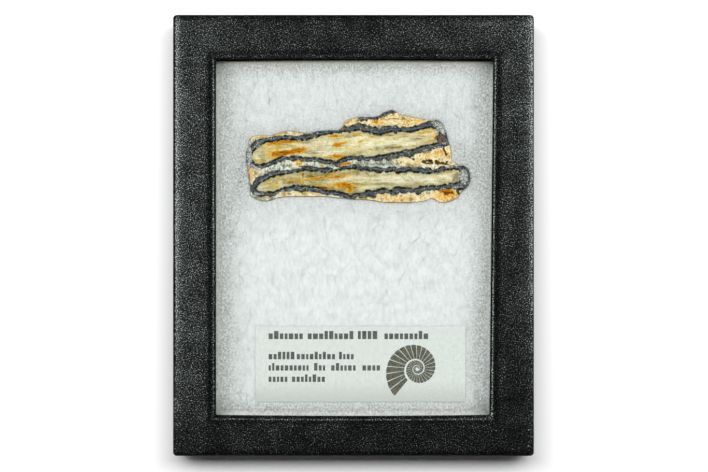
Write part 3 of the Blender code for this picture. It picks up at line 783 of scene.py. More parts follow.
def polyester():
    """White polyester with painted shade: greyer near the window's edges and round the slice."""
    wool = Shader("white_batting")
    place = wool.place()
    lying = wool.stretched(place, (1.0, 0.8, 1.0))
    streaks = wool.noise(wool.stretched(place, (1.0, 0.4, 1.0)), 0.9 * MM, 3.0, 0.6)
    specks = wool.noise(lying, 0.42 * MM, 2.0, 0.6)
    strands = wool.noise(lying, 0.58 * MM, 2.0, 0.55)
    speckled = wool.field("speckled")
    shade = wool.weighted((streaks, 0.6), (wool.noise(place, 3.5 * MM), 0.4))
    full = wool.ramp(shade, (0.36, (224, 226, 226)), (0.6, (242, 243, 243)))
    # Painted shade: a speckled grey where the batting lies in shade, near the window's edges and round
    # the slice.
    painted_shade = wool.ramp(specks, (0.35, (96, 95, 93)), (0.48, (186, 186, 184)), (0.64, (220, 221, 219)))
    spread = wool.times(wool.weighted((specks, 3.0), base=-1.5), speckled)
    colour = wool.tinted(
        wool.mix(wool.add(wool.field("painted_shade"), spread), full, painted_shade),
        # Dark and pale strands where the painted shade is speckled.
        (wool.times(wool.step(strands, 0.49, 0.38), speckled), 0.36, (124, 128, 128)),
        (wool.times(wool.step(strands, 0.52, 0.63), speckled), 0.5, (240, 242, 238)),
        # Painted warm bounce light along the window's edges, as beige.
        (wool.field("beige"), 1.0, (214, 206, 186)),
        # Painted shadow below the window's upper edge and in its corners.
        (wool.field("hidden"), 1.0, (12, 12, 10)),
    )
    wool.set(
        Base_Color=colour,
        Roughness=0.9,
        Specular_IOR_Level=0.2,
        Subsurface_Weight=0.8,
        Subsurface_Scale=2.5 * MM,
        Subsurface_Radius=(1.0, 1.0, 1.0),
        Normal=wool.bump(streaks, 0.12 * MM, 0.35),
    )
    return wool.material


def fossil_tooth():
    """Polished fossil tooth: slate enamel rings round cream dentine, set in ochre cement."""
    tooth = Shader("fossil_tooth")
    place = tooth.place()
    coarse = tooth.noise(place, 0.9 * MM)
    fine = tooth.noise(place, 0.34 * MM, 3.0, 0.65)
    patch = tooth.noise(place, 3.0 * MM, 3.0, 0.55)
    streak = tooth.noise(tooth.stretched(place, (0.16, 1.0, 1.0)), 0.6 * MM, 3.0, 0.65)
    ragged = tooth.weighted((coarse, 0.7), (fine, 0.9), base=-0.8)
    lobed = tooth.weighted((ragged, 0.8), (tooth.cells(place, 1.15 * MM), -0.7), base=0.28)
    core = tooth.add(tooth.field("core"), lobed)
    depth = tooth.weighted((lobed, 0.8), base=tooth.field("enamel"))

    cement = cement_colour(tooth, place, fine, patch)
    dentine = dentine_colour(tooth, place, fine, patch, streak)
    colour = tooth.mix(tooth.step(core, -0.25, -0.17), cement, dentine)
    colour = stained(tooth, colour, ragged, streak)
    share = tooth.step(depth, -0.3, -0.2)
    colour = tooth.mix(share, colour, enamel_colour(tooth, place, core, depth))
    tooth.set(
        Base_Color=frost_glints_and_umber(tooth, colour, place, fine),
        Roughness=tooth.weighted((fine, 0.1), (tooth.field("brown"), 0.35), base=0.1),
        Specular_IOR_Level=0.2,
        Normal=tooth.bump(tooth.weighted((fine, 0.5), (share, 0.5)), 0.02 * MM, 0.15),
    )
    return tooth.material


def cement_colour(tooth, place, fine, patch):
    """Chalky cement, from pale and greenish between the plates to ochre at the rims."""
    grey, dark, pink = tooth.clouds(place, 1.5 * MM, 2.0, 0.6)
    upright = tooth.noise(tooth.stretched(place, (1.0, 0.5, 1.0)), 0.4 * MM, 3.0, 0.6)
    shade = tooth.weighted((fine, 0.34), (tooth.noise(place, 0.8 * MM), 0.3), (patch, 0.36))
    pale = tooth.ramp(
        tooth.weighted((shade, 0.6), (upright, 0.4)),
        (0.38, (66, 68, 56)), (0.44, (123, 126, 112)), (0.5, (183, 187, 173)), (0.57, (237, 242, 231)),
    )
    ochre = tooth.ramp(
        shade, (0.35, (110, 68, 12)), (0.41, (207, 155, 66)), (0.48, (240, 211, 144)),
        (0.55, (249, 234, 193)), (0.63, (254, 251, 236)),
    )
    warmth = tooth.field("ochre")
    return tooth.tinted(
        tooth.mix(warmth, pale, ochre),
        (tooth.times(tooth.step(pink, 0.52, 0.64), warmth), 0.45, (230, 196, 160)),
        (tooth.step(grey, 0.54, 0.66), 0.4, (228, 234, 222)),
        (tooth.step(dark, 0.54, 0.65), 0.7, (98, 88, 50)),
    )


def dentine_colour(tooth, place, fine, patch, streak):
    """Creamy dentine, streaked along the plate, clouded pink and yellow, olive in places."""
    soft = tooth.noise(tooth.stretched(place, (0.3, 1.0, 1.0)), 2.2 * MM)
    shade = tooth.weighted((streak, 0.36), (fine, 0.24), (soft, 0.4))
    cream = tooth.ramp(
        shade, (0.37, (110, 90, 38)), (0.43, (190, 168, 106)), (0.49, (228, 211, 152)),
        (0.55, (241, 229, 182)), (0.63, (255, 249, 220)),
    )
    olive = tooth.ramp(
        shade, (0.37, (56, 48, 14)), (0.45, (108, 96, 42)), (0.53, (160, 146, 88)),
        (0.62, (212, 200, 148)),
    )
    pale = tooth.ramp(
        shade, (0.37, (130, 118, 84)), (0.43, (196, 185, 145)), (0.49, (230, 222, 187)),
        (0.57, (247, 242, 218)),
    )
    share = tooth.times(tooth.field("olive"), tooth.step(patch, 0.34, 0.54))
    colour = tooth.mix(share, tooth.mix(tooth.field("pale"), cream, pale), olive)
    yellow, green, pink = tooth.clouds(tooth.stretched(place, (0.5, 1.0, 1.0)), 1.6 * MM, 2.0, 0.6)
    return tooth.tinted(
        colour,
        (tooth.step(yellow, 0.5, 0.66), 0.4, (230, 200, 100)),
        (tooth.step(green, 0.5, 0.66), 0.45, (172, 174, 126)),
        (tooth.step(pink, 0.5, 0.66), 0.5, (234, 210, 184)),
        (tooth.step(tooth.field("core"), 1.5, -0.2), 0.5, (142, 132, 86)),
        (tooth.step(fine, 0.41, 0.34), 0.75, (78, 66, 32)),
    )


def stained(tooth, colour, ragged, streak):
    """Iron stains over cement and dentine, each spread from its blots."""

    def spread(name, low, high):
        field = tooth.field(name)
        wide = tooth.weighted((field, 1.25), (ragged, 2.6), (streak, 1.8), base=-1.05)
        return tooth.times(tooth.step(field, 0.0, 0.12), tooth.step(wide, low, high))

    colour = tooth.tinted(
        colour,
        (spread("warm", 0.2, 1.1), 0.85, (247, 176, 70)),
        (spread("grey", 0.3, 1.0), 0.8, (110, 104, 74)),
        (spread("gold", 0.05, 0.75), 0.85, (202, 156, 24)),
        (spread("rust", -0.15, 0.35), 0.85, (226, 176, 52)),
    )
    rust = tooth.ramp(streak, (0.38, (94, 42, 0)), (0.48, (148, 82, 4)), (0.58, (204, 128, 10)))
    colour = tooth.mix(tooth.times(spread("rust", 0.3, 0.75), 0.97), colour, rust)
    dark = tooth.ramp(streak, (0.42, (16, 12, 5)), (0.5, (44, 34, 12)), (0.58, (92, 74, 28)))
    return tooth.mix(tooth.times(spread("brown", 0.3, 0.7), 0.95), colour, dark)


def enamel_colour(tooth, place, core, depth):
    """Slate enamel, flecked and tinged green and brown, with a pale painted glint line, nearly black
    along its edges.
    """
    mottle = tooth.noise(place, 0.42 * MM, 3.0, 0.7)
    wide, green, brown = tooth.clouds(place, 1.3 * MM)
    slate = tooth.ramp(
        tooth.weighted((mottle, 0.75), (wide, 0.25)),
        (0.39, (11, 15, 18)), (0.46, (36, 46, 55)), (0.53, (76, 88, 95)),
        (0.59, (130, 140, 141)), (0.66, (223, 227, 219)),
    )
    # A faint painted glint line inside the enamel.
    glint = tooth.times(tooth.step(core, -1.2, -0.9), tooth.step(core, -0.6, -0.85))
    colour = tooth.tinted(
        slate,
        (tooth.step(green, 0.5, 0.62), 0.45, (38, 60, 46)),
        (tooth.step(brown, 0.5, 0.6), 0.5, (106, 82, 44)),
        (tooth.step(tooth.noise(place, 1.7 * MM), 0.51, 0.6), 0.5, (22, 40, 84)),
        (tooth.step(tooth.noise(place, 0.75 * MM, 1.0), 0.55, 0.64), 0.45, (134, 112, 62)),
        (glint, 0.2, (146, 154, 148)),
        (tooth.step(core, -0.6, -0.4), 0.86, (22, 23, 14)),
    )
    fringe = tooth.ramp(mottle, (0.42, (24, 27, 22)), (0.5, (76, 80, 66)), (0.6, (196, 196, 180)))
    edge = tooth.mix(tooth.step(wide, 0.46, 0.56), srgb(20, 22, 18), fringe)
    return tooth.mix(tooth.times(tooth.step(depth, 0.2, -0.05), 0.85), colour, edge)


def frost_glints_and_umber(tooth, colour, place, fine):
    """Whitish, chipped and translucent places, partly painted glints, and umber ones."""
    chips = tooth.noise(place, 0.5 * MM, 3.0, 0.7)
    spread = tooth.weighted((chips, 2.6), base=tooth.add(tooth.field("frost_and_glint"), -1.5))
    white = tooth.ramp(fine, (0.4, (84, 90, 88)), (0.5, (158, 162, 158)), (0.58, (232, 234, 228)))
    colour = tooth.mix(tooth.times(tooth.step(spread, 0.3, 0.7), 0.85), colour, white)
    spread = tooth.weighted((chips, 3.4), base=tooth.add(tooth.field("umber"), -1.9))
    shade = tooth.weighted((fine, 0.5), (chips, 0.5))
    umber = tooth.ramp(shade, (0.42, (26, 16, 10)), (0.49, (78, 46, 30)), (0.56, (156, 106, 76)))
    return tooth.mix(tooth.times(tooth.step(spread, 0.3, 0.6), 0.9), colour, umber)


def label_stock():
    """Matt white card with faint fibres, greyed along its foot by painted shade."""
    card = Shader("label_stock")
    place = card.place()
    fibres = card.noise(card.stretched(place, (1.0, 0.4, 1.0)), 0.5 * MM)
    shade = card.weighted((card.noise(place, 1.2 * MM, 3.0, 0.6), 0.5), (fibres, 0.5))
    clean = card.ramp(shade, (0.35, (216, 220, 216)), (0.65, (230, 233, 229)))
    across = card.node("ShaderNodeSeparateXYZ", {"Vector": place}).outputs["Y"]
    # Painted shade along the card's foot, near the window's lower edge.
    foot = card.step(across, -45.0 * MM, -54.0 * MM)
    card.set(
        Base_Color=card.tinted(clean, (foot, 0.8, (194, 196, 190))),
        Roughness=0.8,
        Specular_IOR_Level=0.2,
        Normal=card.bump(fibres, 0.03 * MM, 0.4),
    )
    return card.material


def print_ink(name, light, dark):
    """Ink laid down a little unevenly."""
    ink = Shader(name)
    shade = ink.noise(ink.place(), 0.5 * MM, 3.0, 0.6)
    ink.set(
        Base_Color=ink.ramp(shade, (0.35, dark), (0.65, light)),
        Roughness=0.7,
        Specular_IOR_Level=0.25,
    )
    return ink.material


# ---- the lid ----


def case_box():
    """Low and high corners of the case's outline."""
    low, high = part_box("lid")
    return (low.x, low.y), (high.x, high.y)


def drawn_in(low, high, inset):
    return (low[0] + inset, low[1] + inset), (high[0] - inset, high[1] - inset)


def window_box():
    """Low and high corners of the window, before its right side leans and its ends bow."""
    (left, foot), (right, head) = case_box()
    return (left + WINDOW_LEFT, foot + WINDOW_BOTTOM), (right - WINDOW_RIGHT, head - WINDOW_TOP)


def window_warp(points):
    """How far down the window each point is, how far across, and how far its ends bow there."""
    low, high = window_box()
    down = np.clip((high[1] - points[:, 1]) / (high[1] - low[1]), 0.0, 1.0)
    across = np.clip((points[:, 0] - low[0]) / (high[0] - low[0]), 0.0, 1.0)
    return down, across, WINDOW_BOW * (1.0 - (2.0 * across - 1.0) ** 2)


def window_shape(ring):
    """The window's ring as the paper left it: its right side leans and its ends bow."""
    down, across, bow = window_warp(ring)
    shaped = ring.copy()
    shaped[:, 0] -= WINDOW_LEAN * down * across
    shaped[:, 1] += bow * (1.0 - 2.0 * down)
    return shaped


def window_insets(points):
    """How far inside the window's left, right, bottom and top edges each point lies."""
    low, high = window_box()
    down, _, bow = window_warp(points)
    left = points[:, 0] - low[0]
    right = high[0] - WINDOW_LEAN * down - points[:, 0]
    return left, right, points[:, 1] - low[1] + bow, high[1] + bow - points[:, 1]


def rounded_ring(low, high, radius, height):
    """One loop of evenly spaced points round a rectangle with rounded corners."""
    corners = (
        (high[0] - radius, high[1] - radius, 0.0, LID_ACROSS),
        (low[0] + radius, high[1] - radius, 0.5 * math.pi, LID_ALONG),
        (low[0] + radius, low[1] + radius, math.pi, LID_ACROSS),
        (high[0] - radius, low[1] + radius, 1.5 * math.pi, LID_ALONG),
    )
    arcs = []
    for x, y, start, _ in corners:
        turns = start + np.linspace(0.0, 0.5 * math.pi, LID_TURN)
        arcs.append(np.column_stack([x + radius * np.cos(turns), y + radius * np.sin(turns)]))
    points = []
    for arc, following, (_, _, _, count) in zip(arcs, arcs[1:] + arcs[:1], corners):
        share = np.linspace(0.0, 1.0, count + 2)[1:-1, None]
        points += [arc, arc[-1] + (following[0] - arc[-1]) * share]
    return raised(np.vstack(points), height)


def rounded_edge(low, high, corner, top, radius, inward, steps):
    """Rings of a quarter-round edge, from its foot on the side up to the flat top."""
    rings = []
    for step in range(steps + 1):
        turn = 0.5 * math.pi * step / steps
        inset = inward * radius * (1.0 - math.cos(turn))
        height = top - radius * (1.0 - math.sin(turn))
        outline = drawn_in(low, high, inset)
        rings.append(rounded_ring(*outline, max(corner - inset, LEAST_CORNER), height))
    return rings


def filled(keys):
    """All rings: the key ones, with so many steps from each to the next."""
    rings = []
    for (ring, steps), (following, _) in zip(keys, keys[1:] + keys[:1]):
        for step in range(steps):
            rings.append(ring + (following - ring) * step / steps)
    return np.array(rings)


def lid_rings():
    """Rings from the skirt's foot over the lid's top, down the window and back inside."""
    outer, window = case_box(), window_box()
    inner = drawn_in(*outer, SKIRT)
    foot, top = (corner.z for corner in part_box("lid"))
    under = top - LID_BOARD
    edge = rounded_edge(*outer, CORNER_RADIUS, top, LID_EDGE, 1, EDGE_STEPS)
    rim = rounded_edge(*window, WINDOW_CORNER, top, WINDOW_EDGE, -1, WINDOW_STEPS)[::-1]
    rim = [window_shape(ring) for ring in rim]
    keys = [(rounded_ring(*outer, CORNER_RADIUS, foot), SIDE_STEPS)]
    keys += [(ring, 1) for ring in edge[:-1]] + [(edge[-1], TOP_STEPS)]
    keys += [(ring, 1) for ring in rim[:-1]]
    hidden = (
        rim[-1], window_shape(rounded_ring(*window, WINDOW_CORNER, under)),
        rounded_ring(*inner, INNER_CORNER, under), rounded_ring(*inner, INNER_CORNER, foot),
    )
    return filled(keys + list(zip(hidden, HIDDEN_STEPS)))


def faded(points, start, end, least):
    """1 above the start, falling to the least share at the end, down the lid."""
    return 1.0 - (1.0 - least) * rising(points[:, 1], start, end - start)


def painted_band_light(points):
    """Painted sheen and shade on the paper's bands, side by side and from end to end."""
    low, high = (np.array(corner) / MM for corner in case_box())
    x, y = points[:, 0] / MM, points[:, 1] / MM
    insets = (x - low[0], high[0] - x, y - low[1], high[1] - y)
    left, right, foot, head = (rising(BAND - inset, 0.0, BAND_BLEND) for inset in insets)
    up, down = rising(y, *BAND_CHANGE), rising(-y, *BAND_CHANGE)
    painted_light = left * (LEFT_SHEEN - LEFT_LOSS * (down + rising(y, *LEFT_HEAD_CHANGE)))
    painted_light += right * (RIGHT_SHEENS[0] * up + RIGHT_SHEENS[1] * down)
    across = HEAD_SHEENS[0] + HEAD_SHEENS[1] * (x / HEAD_SPAN) ** 2
    painted_light += head * (1.0 - right) * (1.0 - left) * across
    return painted_light + FOOT_SHADE * foot * (1.0 - FOOT_SPARED * right) + BASE_SHADE


def painted_paper_light(points):
    """Painted light on the paper: painted highlights and sheen above 0, painted shade below 0."""
    low, high = case_box()
    painted_light = painted_band_light(points)
    sides = (points[:, 0] - low[0], high[0] - points[:, 0])
    # painted highlights on the left and right rounded edges, painted shade outside them
    for inset, (most, place, dark), fade in zip(sides, EDGE_HIGHLIGHTS, EDGE_FADES):
        reach = np.where(inset > place, EDGE_HIGHLIGHT_REACH, EDGE_HIGHLIGHT_START)
        edge = most * bell(inset - place, reach, 1.0) - dark * bell(inset, place, 4.0)
        painted_light += faded(points, *fade) * edge
    # painted shade along the top and bottom edges
    for inset in (points[:, 1] - low[1], high[1] - points[:, 1]):
        painted_light -= END_DARK * bell(inset, END_REACH)
    # painted highlight on the ridge round the window, painted shade in the ditch and on the window's
    # rounded edge
    insets = np.array(window_insets(points))
    outward = -insets.min(axis=0)
    side = insets.argmin(axis=0)
    place = np.array(RIDGE_PLACES)[side]
    ridge = np.array(RIDGE_HIGHLIGHTS)[side] * bell(outward - place, RIDGE_WIDTH)
    ditch = bell(outward - DITCH_PLACE, DITCH_WIDTH) + (outward < place - RIDGE_FOOT)
    painted_light += ridge * faded(points, *np.array(RIDGE_FADES)[side].T)
    painted_light -= np.array(DITCH_SHADES)[side] * ditch
    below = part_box("lid")[1].z - LID_EDGE - points[:, 2]
    return painted_light * (1.0 - rising(below, 0.0, PAINTED_LIGHT_DEPTH))


def add_lid(paper):
    rings = lid_rings()
    along = np.roll(rings, -1, axis=1) - np.roll(rings, 1, axis=1)
    across = np.roll(rings, -1, axis=0) - np.roll(rings, 1, axis=0)
    normals = np.cross(along, across).reshape(-1, 3)
    normals /= np.linalg.norm(normals, axis=1)[:, None]
    points = rings.reshape(-1, 3)
    relief = layered(points, PAPER_RELIEF) - RELIEF_SINK
    points = points + normals * (relief * MM)[:, None]
    count = rings.shape[1]
    faces = []
    for start in range(0, len(points), count):
        faces += wall(start, (start + count) % len(points), count)
    lid = add_piece("lid_paper", points, faces, paper)
    # painted highlights and painted shade for the paper's colour
    add_fields(lid, {"painted_light": painted_paper_light(points)})
    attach(lid, "root")
    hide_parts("lid")


# ---- the slice ----


def slice_edge():
    """The slice's outline, its outward normals, and how far its edge strays from it."""
    outline = smooth_loop(SLICE_OUTLINE, OUTLINE_STEP)
    ragged = layered(raised(outline, 0.0), EDGE_RAGGED)
    return outline, outward_normals(outline, EDGE_NORMALS), ragged


def slice_rings():
    """The rim's rings, in millimetres, from the polished face down."""
    outline, normals, ragged = slice_edge()
    low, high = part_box("tooth_slice")
    top = high.z / MM
    thickness = (high.z - low.z) / MM
    rings = []
    for depth in (*FIRST_RINGS, *LATER_RINGS):
        outward = np.interp(depth, *zip(*SLICE_RIM))
        ring = raised(outline, top - depth * thickness)
        swell = math.sin(math.pi * min(depth, SWELL_END))
        lumps = layered(ring, RIM_LUMPS) - RIM_DRAW
        ring[:, :2] += normals * (outward + ragged + lumps * swell)[:, None]
        rings.append(ring)
    return rings


def filled_loop(ring, step):
    """Flat points and triangles that fill a ring, whose own points come first."""
    loop = ring[:, :2]
    inner = lattice(loop.min(axis=0), loop.max(axis=0), step)
    inner = inner[signed_distance(inner, loop) > LATTICE_ROOM * step]
    return triangulated(np.vstack([loop, inner]), len(loop), INSIDE_LOOPS, NEARNESS)


def pit_depth(points):
    """How deep, in millimetres, the natural hollows cut at each point."""
    total = np.zeros(len(points))
    for *shape, depth in PITS:
        steep = PIT_STEEPNESS * blots(points, [(*shape, 1.0)]) - PIT_EDGE
        total = np.maximum(total, depth * np.clip(steep, 0.0, 1.0))
    return total


def slice_face(ring):
    """The polished face's points and triangles: pitted, barely wavy, and worn along its edge."""
    flat, faces = filled_loop(ring, FACE_STEP)
    inside = np.clip(signed_distance(flat, ring[:, :2]), 0.0, None)
    heights = ring[0, 2] - pit_depth(flat) - EDGE_WEAR * bell(inside, EDGE_WEAR_REACH, 1.0)
    heights -= FACE_SINK + layered(raised(flat, 0.0), FACE_WAVE)
    return raised(flat, heights), faces


def slice_mesh():
    """The slice's points, in millimetres, and faces: its face, its rim and its back."""
    rings = slice_rings()
    count = len(rings[0])
    top, faces = slice_face(rings[0])
    back, back_faces = filled_loop(rings[-1], BACK_STEP)
    starts = [0] + [len(top) + k * count for k in range(len(rings) - 1)]
    for upper, lower in zip(starts, starts[1:]):
        faces += wall(upper, lower, count)
    faces += [[starts[-1] + k for k in reversed(corners)] for corners in back_faces]
    return np.vstack([top, *rings[1:], raised(back[count:], rings[-1][0, 2])]), faces


def slice_fields(points):
    """What the material needs to know at each point of the slice, in millimetres."""
    outlines = (UPPER_ENAMEL, UPPER_CORE, LOWER_ENAMEL, LOWER_CORE, ENAMEL_SCRAP)
    upper, upper_core, lower, lower_core, scrap = (
        signed_distance(points, outline) for outline in outlines
    )
    rings = np.maximum(np.minimum(upper, -upper_core), np.minimum(lower, -lower_core))
    fields = {"enamel": np.maximum(rings, scrap), "core": np.maximum(upper_core, lower_core)}
    for name, shapes in GROUNDS.items():
        fields[name] = np.clip(blots(points, shapes), 0.0, 1.0)
    for name, shapes in STAINS.items():
        fields[name] = blots(points, shapes)
    return fields


def add_slice():
    points, faces = slice_mesh()
    tooth = add_piece("polished_slice", points * MM, faces, fossil_tooth())
    add_fields(tooth, slice_fields(points[:, :2]))
    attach(tooth, "root")
    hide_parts("tooth_slice")


# ---- the batting ----


def label_distance(points):
    """How far outside the label each point lies."""
    low, high = (np.array(corner[:2]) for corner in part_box("label"))
    return np.maximum(low - points, points - high).max(axis=1)


def batting_height(points, low, high, away):
    """Height of the batting's top: crowned, low at its edges and dipping round the slice."""
    edge = np.minimum(points - low, high - points).min(axis=1)
    height = BATTING_TOP - EDGE_DROP * bell(edge, EDGE_REACH, EDGE_POWER)
    height -= POCKET_DIP * bell(np.clip(away, 0.0, None), POCKET_REACH, POCKET_POWER)
    sunk = rising(0.5 * LABEL_STEP - label_distance(points), 0.0, LABEL_STEP)
    return height + (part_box("label")[0].z - LABEL_SINK - height) * sunk


def batting_surface(flat, low, high):
    """The batting's points above flat ones, with its tufts, and how far they are from the slice."""
    away = slice_away(flat)
    heights = batting_height(flat, low, high, away) - TUFT_SINK * MM
    for *layer, drawn_out in TUFTS:
        placed = raised(flat, 0.0) * (1.0, drawn_out, 1.0)
        heights += layered(placed, [layer]) * MM
    return raised(flat, heights), away


def painted_shade_share(points):
    """How much painted shade greys the batting: most near the window's edges and round the slice."""
    near = np.clip(slice_away(points), 0.0, None)
    shares = [
        sum(share * bell(near, reach, power) for share, reach, power in POCKET_SHADE),
        blots(points / MM, BATTING_SHADES),
        GREY_ABOVE * rising(points[:, 1], *ABOVE_BLEND),
    ]
    insets = window_insets(points)
    for inset, reach in zip(insets, SHADE_REACHES):
        shares.append(1.0 / (1.0 + (np.clip(inset, 0.0, None) / reach) ** 3))
    full = np.prod([1.0 - np.clip(share, 0.0, 1.0) for share in shares], axis=0)
    return (1.0 - full) * rising(np.min(insets, axis=0), 0.0, SHADE_START)


def darkness(points):
    """How much painted shadow darkens the batting below the window's upper edge and in its corners."""
    left, right, foot, head = window_insets(points)
    dark = rising(HEAD_SHADE - head, 0.0, HEAD_BLEND)
    sides = ((left, head), (right, head), (left, foot), (right, foot))
    for most, (across, along) in zip(CORNER_SHADES, sides):
        dark = np.maximum(dark, most * bell(np.hypot(across, along), CORNER_REACH))
    return dark


def wool_fields(points):
    """What the material needs to know at each point of the batting."""
    insets = window_insets(points)
    # How much the painted shade near the window's edges breaks into specks and strands.
    speckled = SPECKLED_START - np.min(insets, axis=0) / SPECKLED_REACH
    beige = np.zeros(len(points))
    for side, (share, place, reach) in zip((0, 2, 3), BEIGE_EDGES):
        beige += share * bell(insets[side] - place, reach)
    return {
        "painted_shade": painted_shade_share(points),
        "speckled": np.clip(speckled, SPECKLED_LEAST, 1.0),
        "beige": BEIGE * np.clip(beige, 0.0, 1.0),
        # painted shadow below the window's upper edge and in its corners
        "hidden": darkness(points),
    }


def label_edges():
    """Points just inside and just outside the label, where the batting steps up beside it."""
    low, high = (np.array(corner[:2]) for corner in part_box("label"))
    loops = []
    for outward in LABEL_EDGES:
        for a, b in ((0, 1), (1, 0)):
            runs = np.arange(low[a] - outward, high[a] + outward, BATTING_STEP)
            for level in (low[b] - outward, high[b] + outward):
                loops.append(raised(runs, level)[:, (a, b)])
    return np.vstack(loops)


def outside_pocket(corners, points, count):
    """Whether a triangle lies outside the pocket's clockwise loop, the first of the points."""
    if max(corners) >= count:
        return True
    (ax, ay), (bx, by), (cx, cy) = (points[k] for k in sorted(corners))
    return (bx - ax) * (cy - ay) - (by - ay) * (cx - ax) > 0.0


def batting_sheet(low, high):
    """The batting's top as flat points and triangles, with the slice's pocket left out of it.

    Its first points go round the pocket and its next ones round the outside.
    """
    outline, normals, ragged = slice_edge()
    pocket = (outline + normals * (ragged + POCKET_ROOM)[:, None]) * MM
    xs, ys = (
        np.linspace(low[k], high[k], round((high[k] - low[k]) / BATTING_STEP) + 1) for k in (0, 1)
    )
    border = [(x, low[1]) for x in xs[:-1]] + [(high[0], y) for y in ys[:-1]]
    border += [(x, high[1]) for x in xs[:0:-1]] + [(low[0], y) for y in ys[:0:-1]]
    inner = lattice(low, high, BATTING_STEP)
    edge = np.minimum(inner - low, high - inner).min(axis=1)
    clear = (slice_away(inner) > POCKET_CLEAR) & (np.abs(label_distance(inner)) > LABEL_CLEAR)
    inner = inner[clear & (edge > 0.5 * BATTING_STEP)]
    points = np.vstack([pocket, border, label_edges(), inner])
    points, faces = triangulated(points, len(pocket), WHOLE_HULL, NEARNESS * MM)
    faces = [corners for corners in faces if outside_pocket(corners, points, len(pocket))]
    return points, faces, len(pocket), len(border)


def batting_mesh(low, high):
    """The batting's points and faces: its top, the slice's pocket, its sides and its base."""
    flat, faces, rim, border = batting_sheet(low, high)
    top, _ = batting_surface(flat, low, high)
    well = raised(flat[:rim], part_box("tooth_slice")[0].z - GAP)
    base = raised(flat[rim : rim + border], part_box("batting")[0].z)
    first = len(top)
    for start, under, count in ((0, first, rim), (rim, first + rim, border)):
        faces += wall(under, start, count)
        faces.append(range(under + count - 1, under - 1, -1))
    return np.vstack([top, well, base]), faces


def fibre_paths(low, high):
    """Wandering paths of loose fibres over the batting, clear of slice, label and pane."""
    draw = np.random.default_rng(FIBRE_SEED)
    count = (FIBRES, FIBRE_POINTS)
    heading = draw.normal(0.5 * math.pi, FIBRE_SPREAD, FIBRES)[:, None]
    heading = heading + np.cumsum(draw.normal(0.0, FIBRE_WANDER, count), axis=1)
    step = draw.uniform(*FIBRE_LENGTHS, FIBRES)[:, None, None] / FIBRE_POINTS
    starts = draw.uniform(low + EDGE_REACH, high - EDGE_REACH, (FIBRES, 2))
    runs = np.stack([np.cos(heading), np.sin(heading)], axis=2) * step
    flat = (starts[:, None, :] + np.cumsum(runs, axis=1)).reshape(-1, 2)
    placed, away = batting_surface(flat, low, high)
    inside = np.minimum(flat - low, high - flat).min(axis=1) > FIBRE_MARGIN
    clear = (away > FIBRE_ROOM) & (label_distance(flat) > FIBRE_ROOM) & inside
    arch = np.sin(np.linspace(0.0, math.pi, FIBRE_POINTS)) * draw.uniform(*FIBRE_ARCHES, (FIBRES, 1))
    lifted = placed[:, 2] + (arch.reshape(-1) + FIBRE_LIFT) * MM
    placed[:, 2] = np.minimum(lifted, FIBRE_CEILING)
    return placed.reshape(*count, 3)[clear.reshape(count).all(axis=1)]


def fibre_mesh(paths):
    """Thin three-sided tubes along the paths, drawn in towards their ends."""
    along = np.gradient(paths, axis=1)
    along /= np.linalg.norm(along, axis=2)[:, :, None]
    across = np.stack([-along[:, :, 1], along[:, :, 0], np.zeros(along.shape[:2])], axis=2)
    turns = np.linspace(FIBRE_TAPER, math.pi - FIBRE_TAPER, FIBRE_POINTS)
    taper = FIBRE_RADIUS * np.sin(turns)[None, :, None]
    up = np.array([0.0, 0.0, 1.0])
    sides = [paths + across * taper, paths + up * taper, paths - across * taper]
    points = np.stack(sides, axis=2).reshape(-1, 3)
    faces = []
    for first in range(0, len(points), 3 * FIBRE_POINTS):
        last = first + 3 * (FIBRE_POINTS - 1)
        for start in range(first, last, 3):
            for here, beside in ((start, start + 1), (start + 1, start + 2), (start + 2, start)):
                faces.append((here, here + 3, beside + 3, beside))
        faces += [(first, first + 1, first + 2), (last + 2, last + 1, last)]
    return points, faces


def add_fibres(low, high, wool):
    points, faces = fibre_mesh(fibre_paths(low, high))
    fibres = add_piece("loose_fibres", points, faces, wool)
    fields = wool_fields(points[:, :2])
    # The fibres take a share of the batting's painted shade.
    fields["painted_shade"] *= FIBRE_SHADE_SHARE
    add_fields(fibres, fields)
    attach(fibres, "root")


def add_batting():
    low, high = (np.array(corner[:2]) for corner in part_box("batting"))
    points, faces = batting_mesh(low, high)
    wool = polyester()
    batting = add_piece("white_wadding", points, faces, wool)
    add_fields(batting, wool_fields(points[:, :2]))
    add_fibres(low, high, wool)
    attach(batting, "root")
    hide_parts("batting")


# ---- the label ----


def word_marks():
    """Rows of plain blocks, in millimetres, that fill the card as lines of small print would."""
    draw = np.random.default_rng(PRINT_SEED)
    marks = []
    for base, tall, weight, words in PRINT_LINES:
        x = PRINT_LEFT
        for word in words:
            end = x + word
            while x + weight < end:
                width = weight * draw.uniform(*BLOCK_WIDTHS)
                top = base + tall * (1.0 if draw.random() < TALL_SHARE else LOW_HEIGHT)
                marks.append(((x, base), (x + width, base), (x + width, top), (x, top)))
                x += width + BLOCK_GAP
            x = end + WORD_GAP
    return marks


def shell_marks():
    """The ribs of a coiled fossil shell, as closed loops in millimetres."""
    marks = []
    for k in range(SHELL_RIBS):
        start = math.radians(k * RIB_TURN)
        end = start + math.radians(RIB_WIDTH)
        first, last = (
            SHELL_SIZE * math.exp(SHELL_GROWTH * (turn - SHELL_TURNS)) for turn in (start, end)
        )
        corners = (
            (SHELL_HOLLOW * first, start), (first, start), (RIB_CROWN * first, 0.5 * (start + end)),
            (last, end), (SHELL_HOLLOW * last, end),
        )
        marks.append([
            (SHELL_PLACE[0] + radius * math.cos(turn), SHELL_PLACE[1] + radius * math.sin(turn))
            for radius, turn in corners
        ])
    return marks


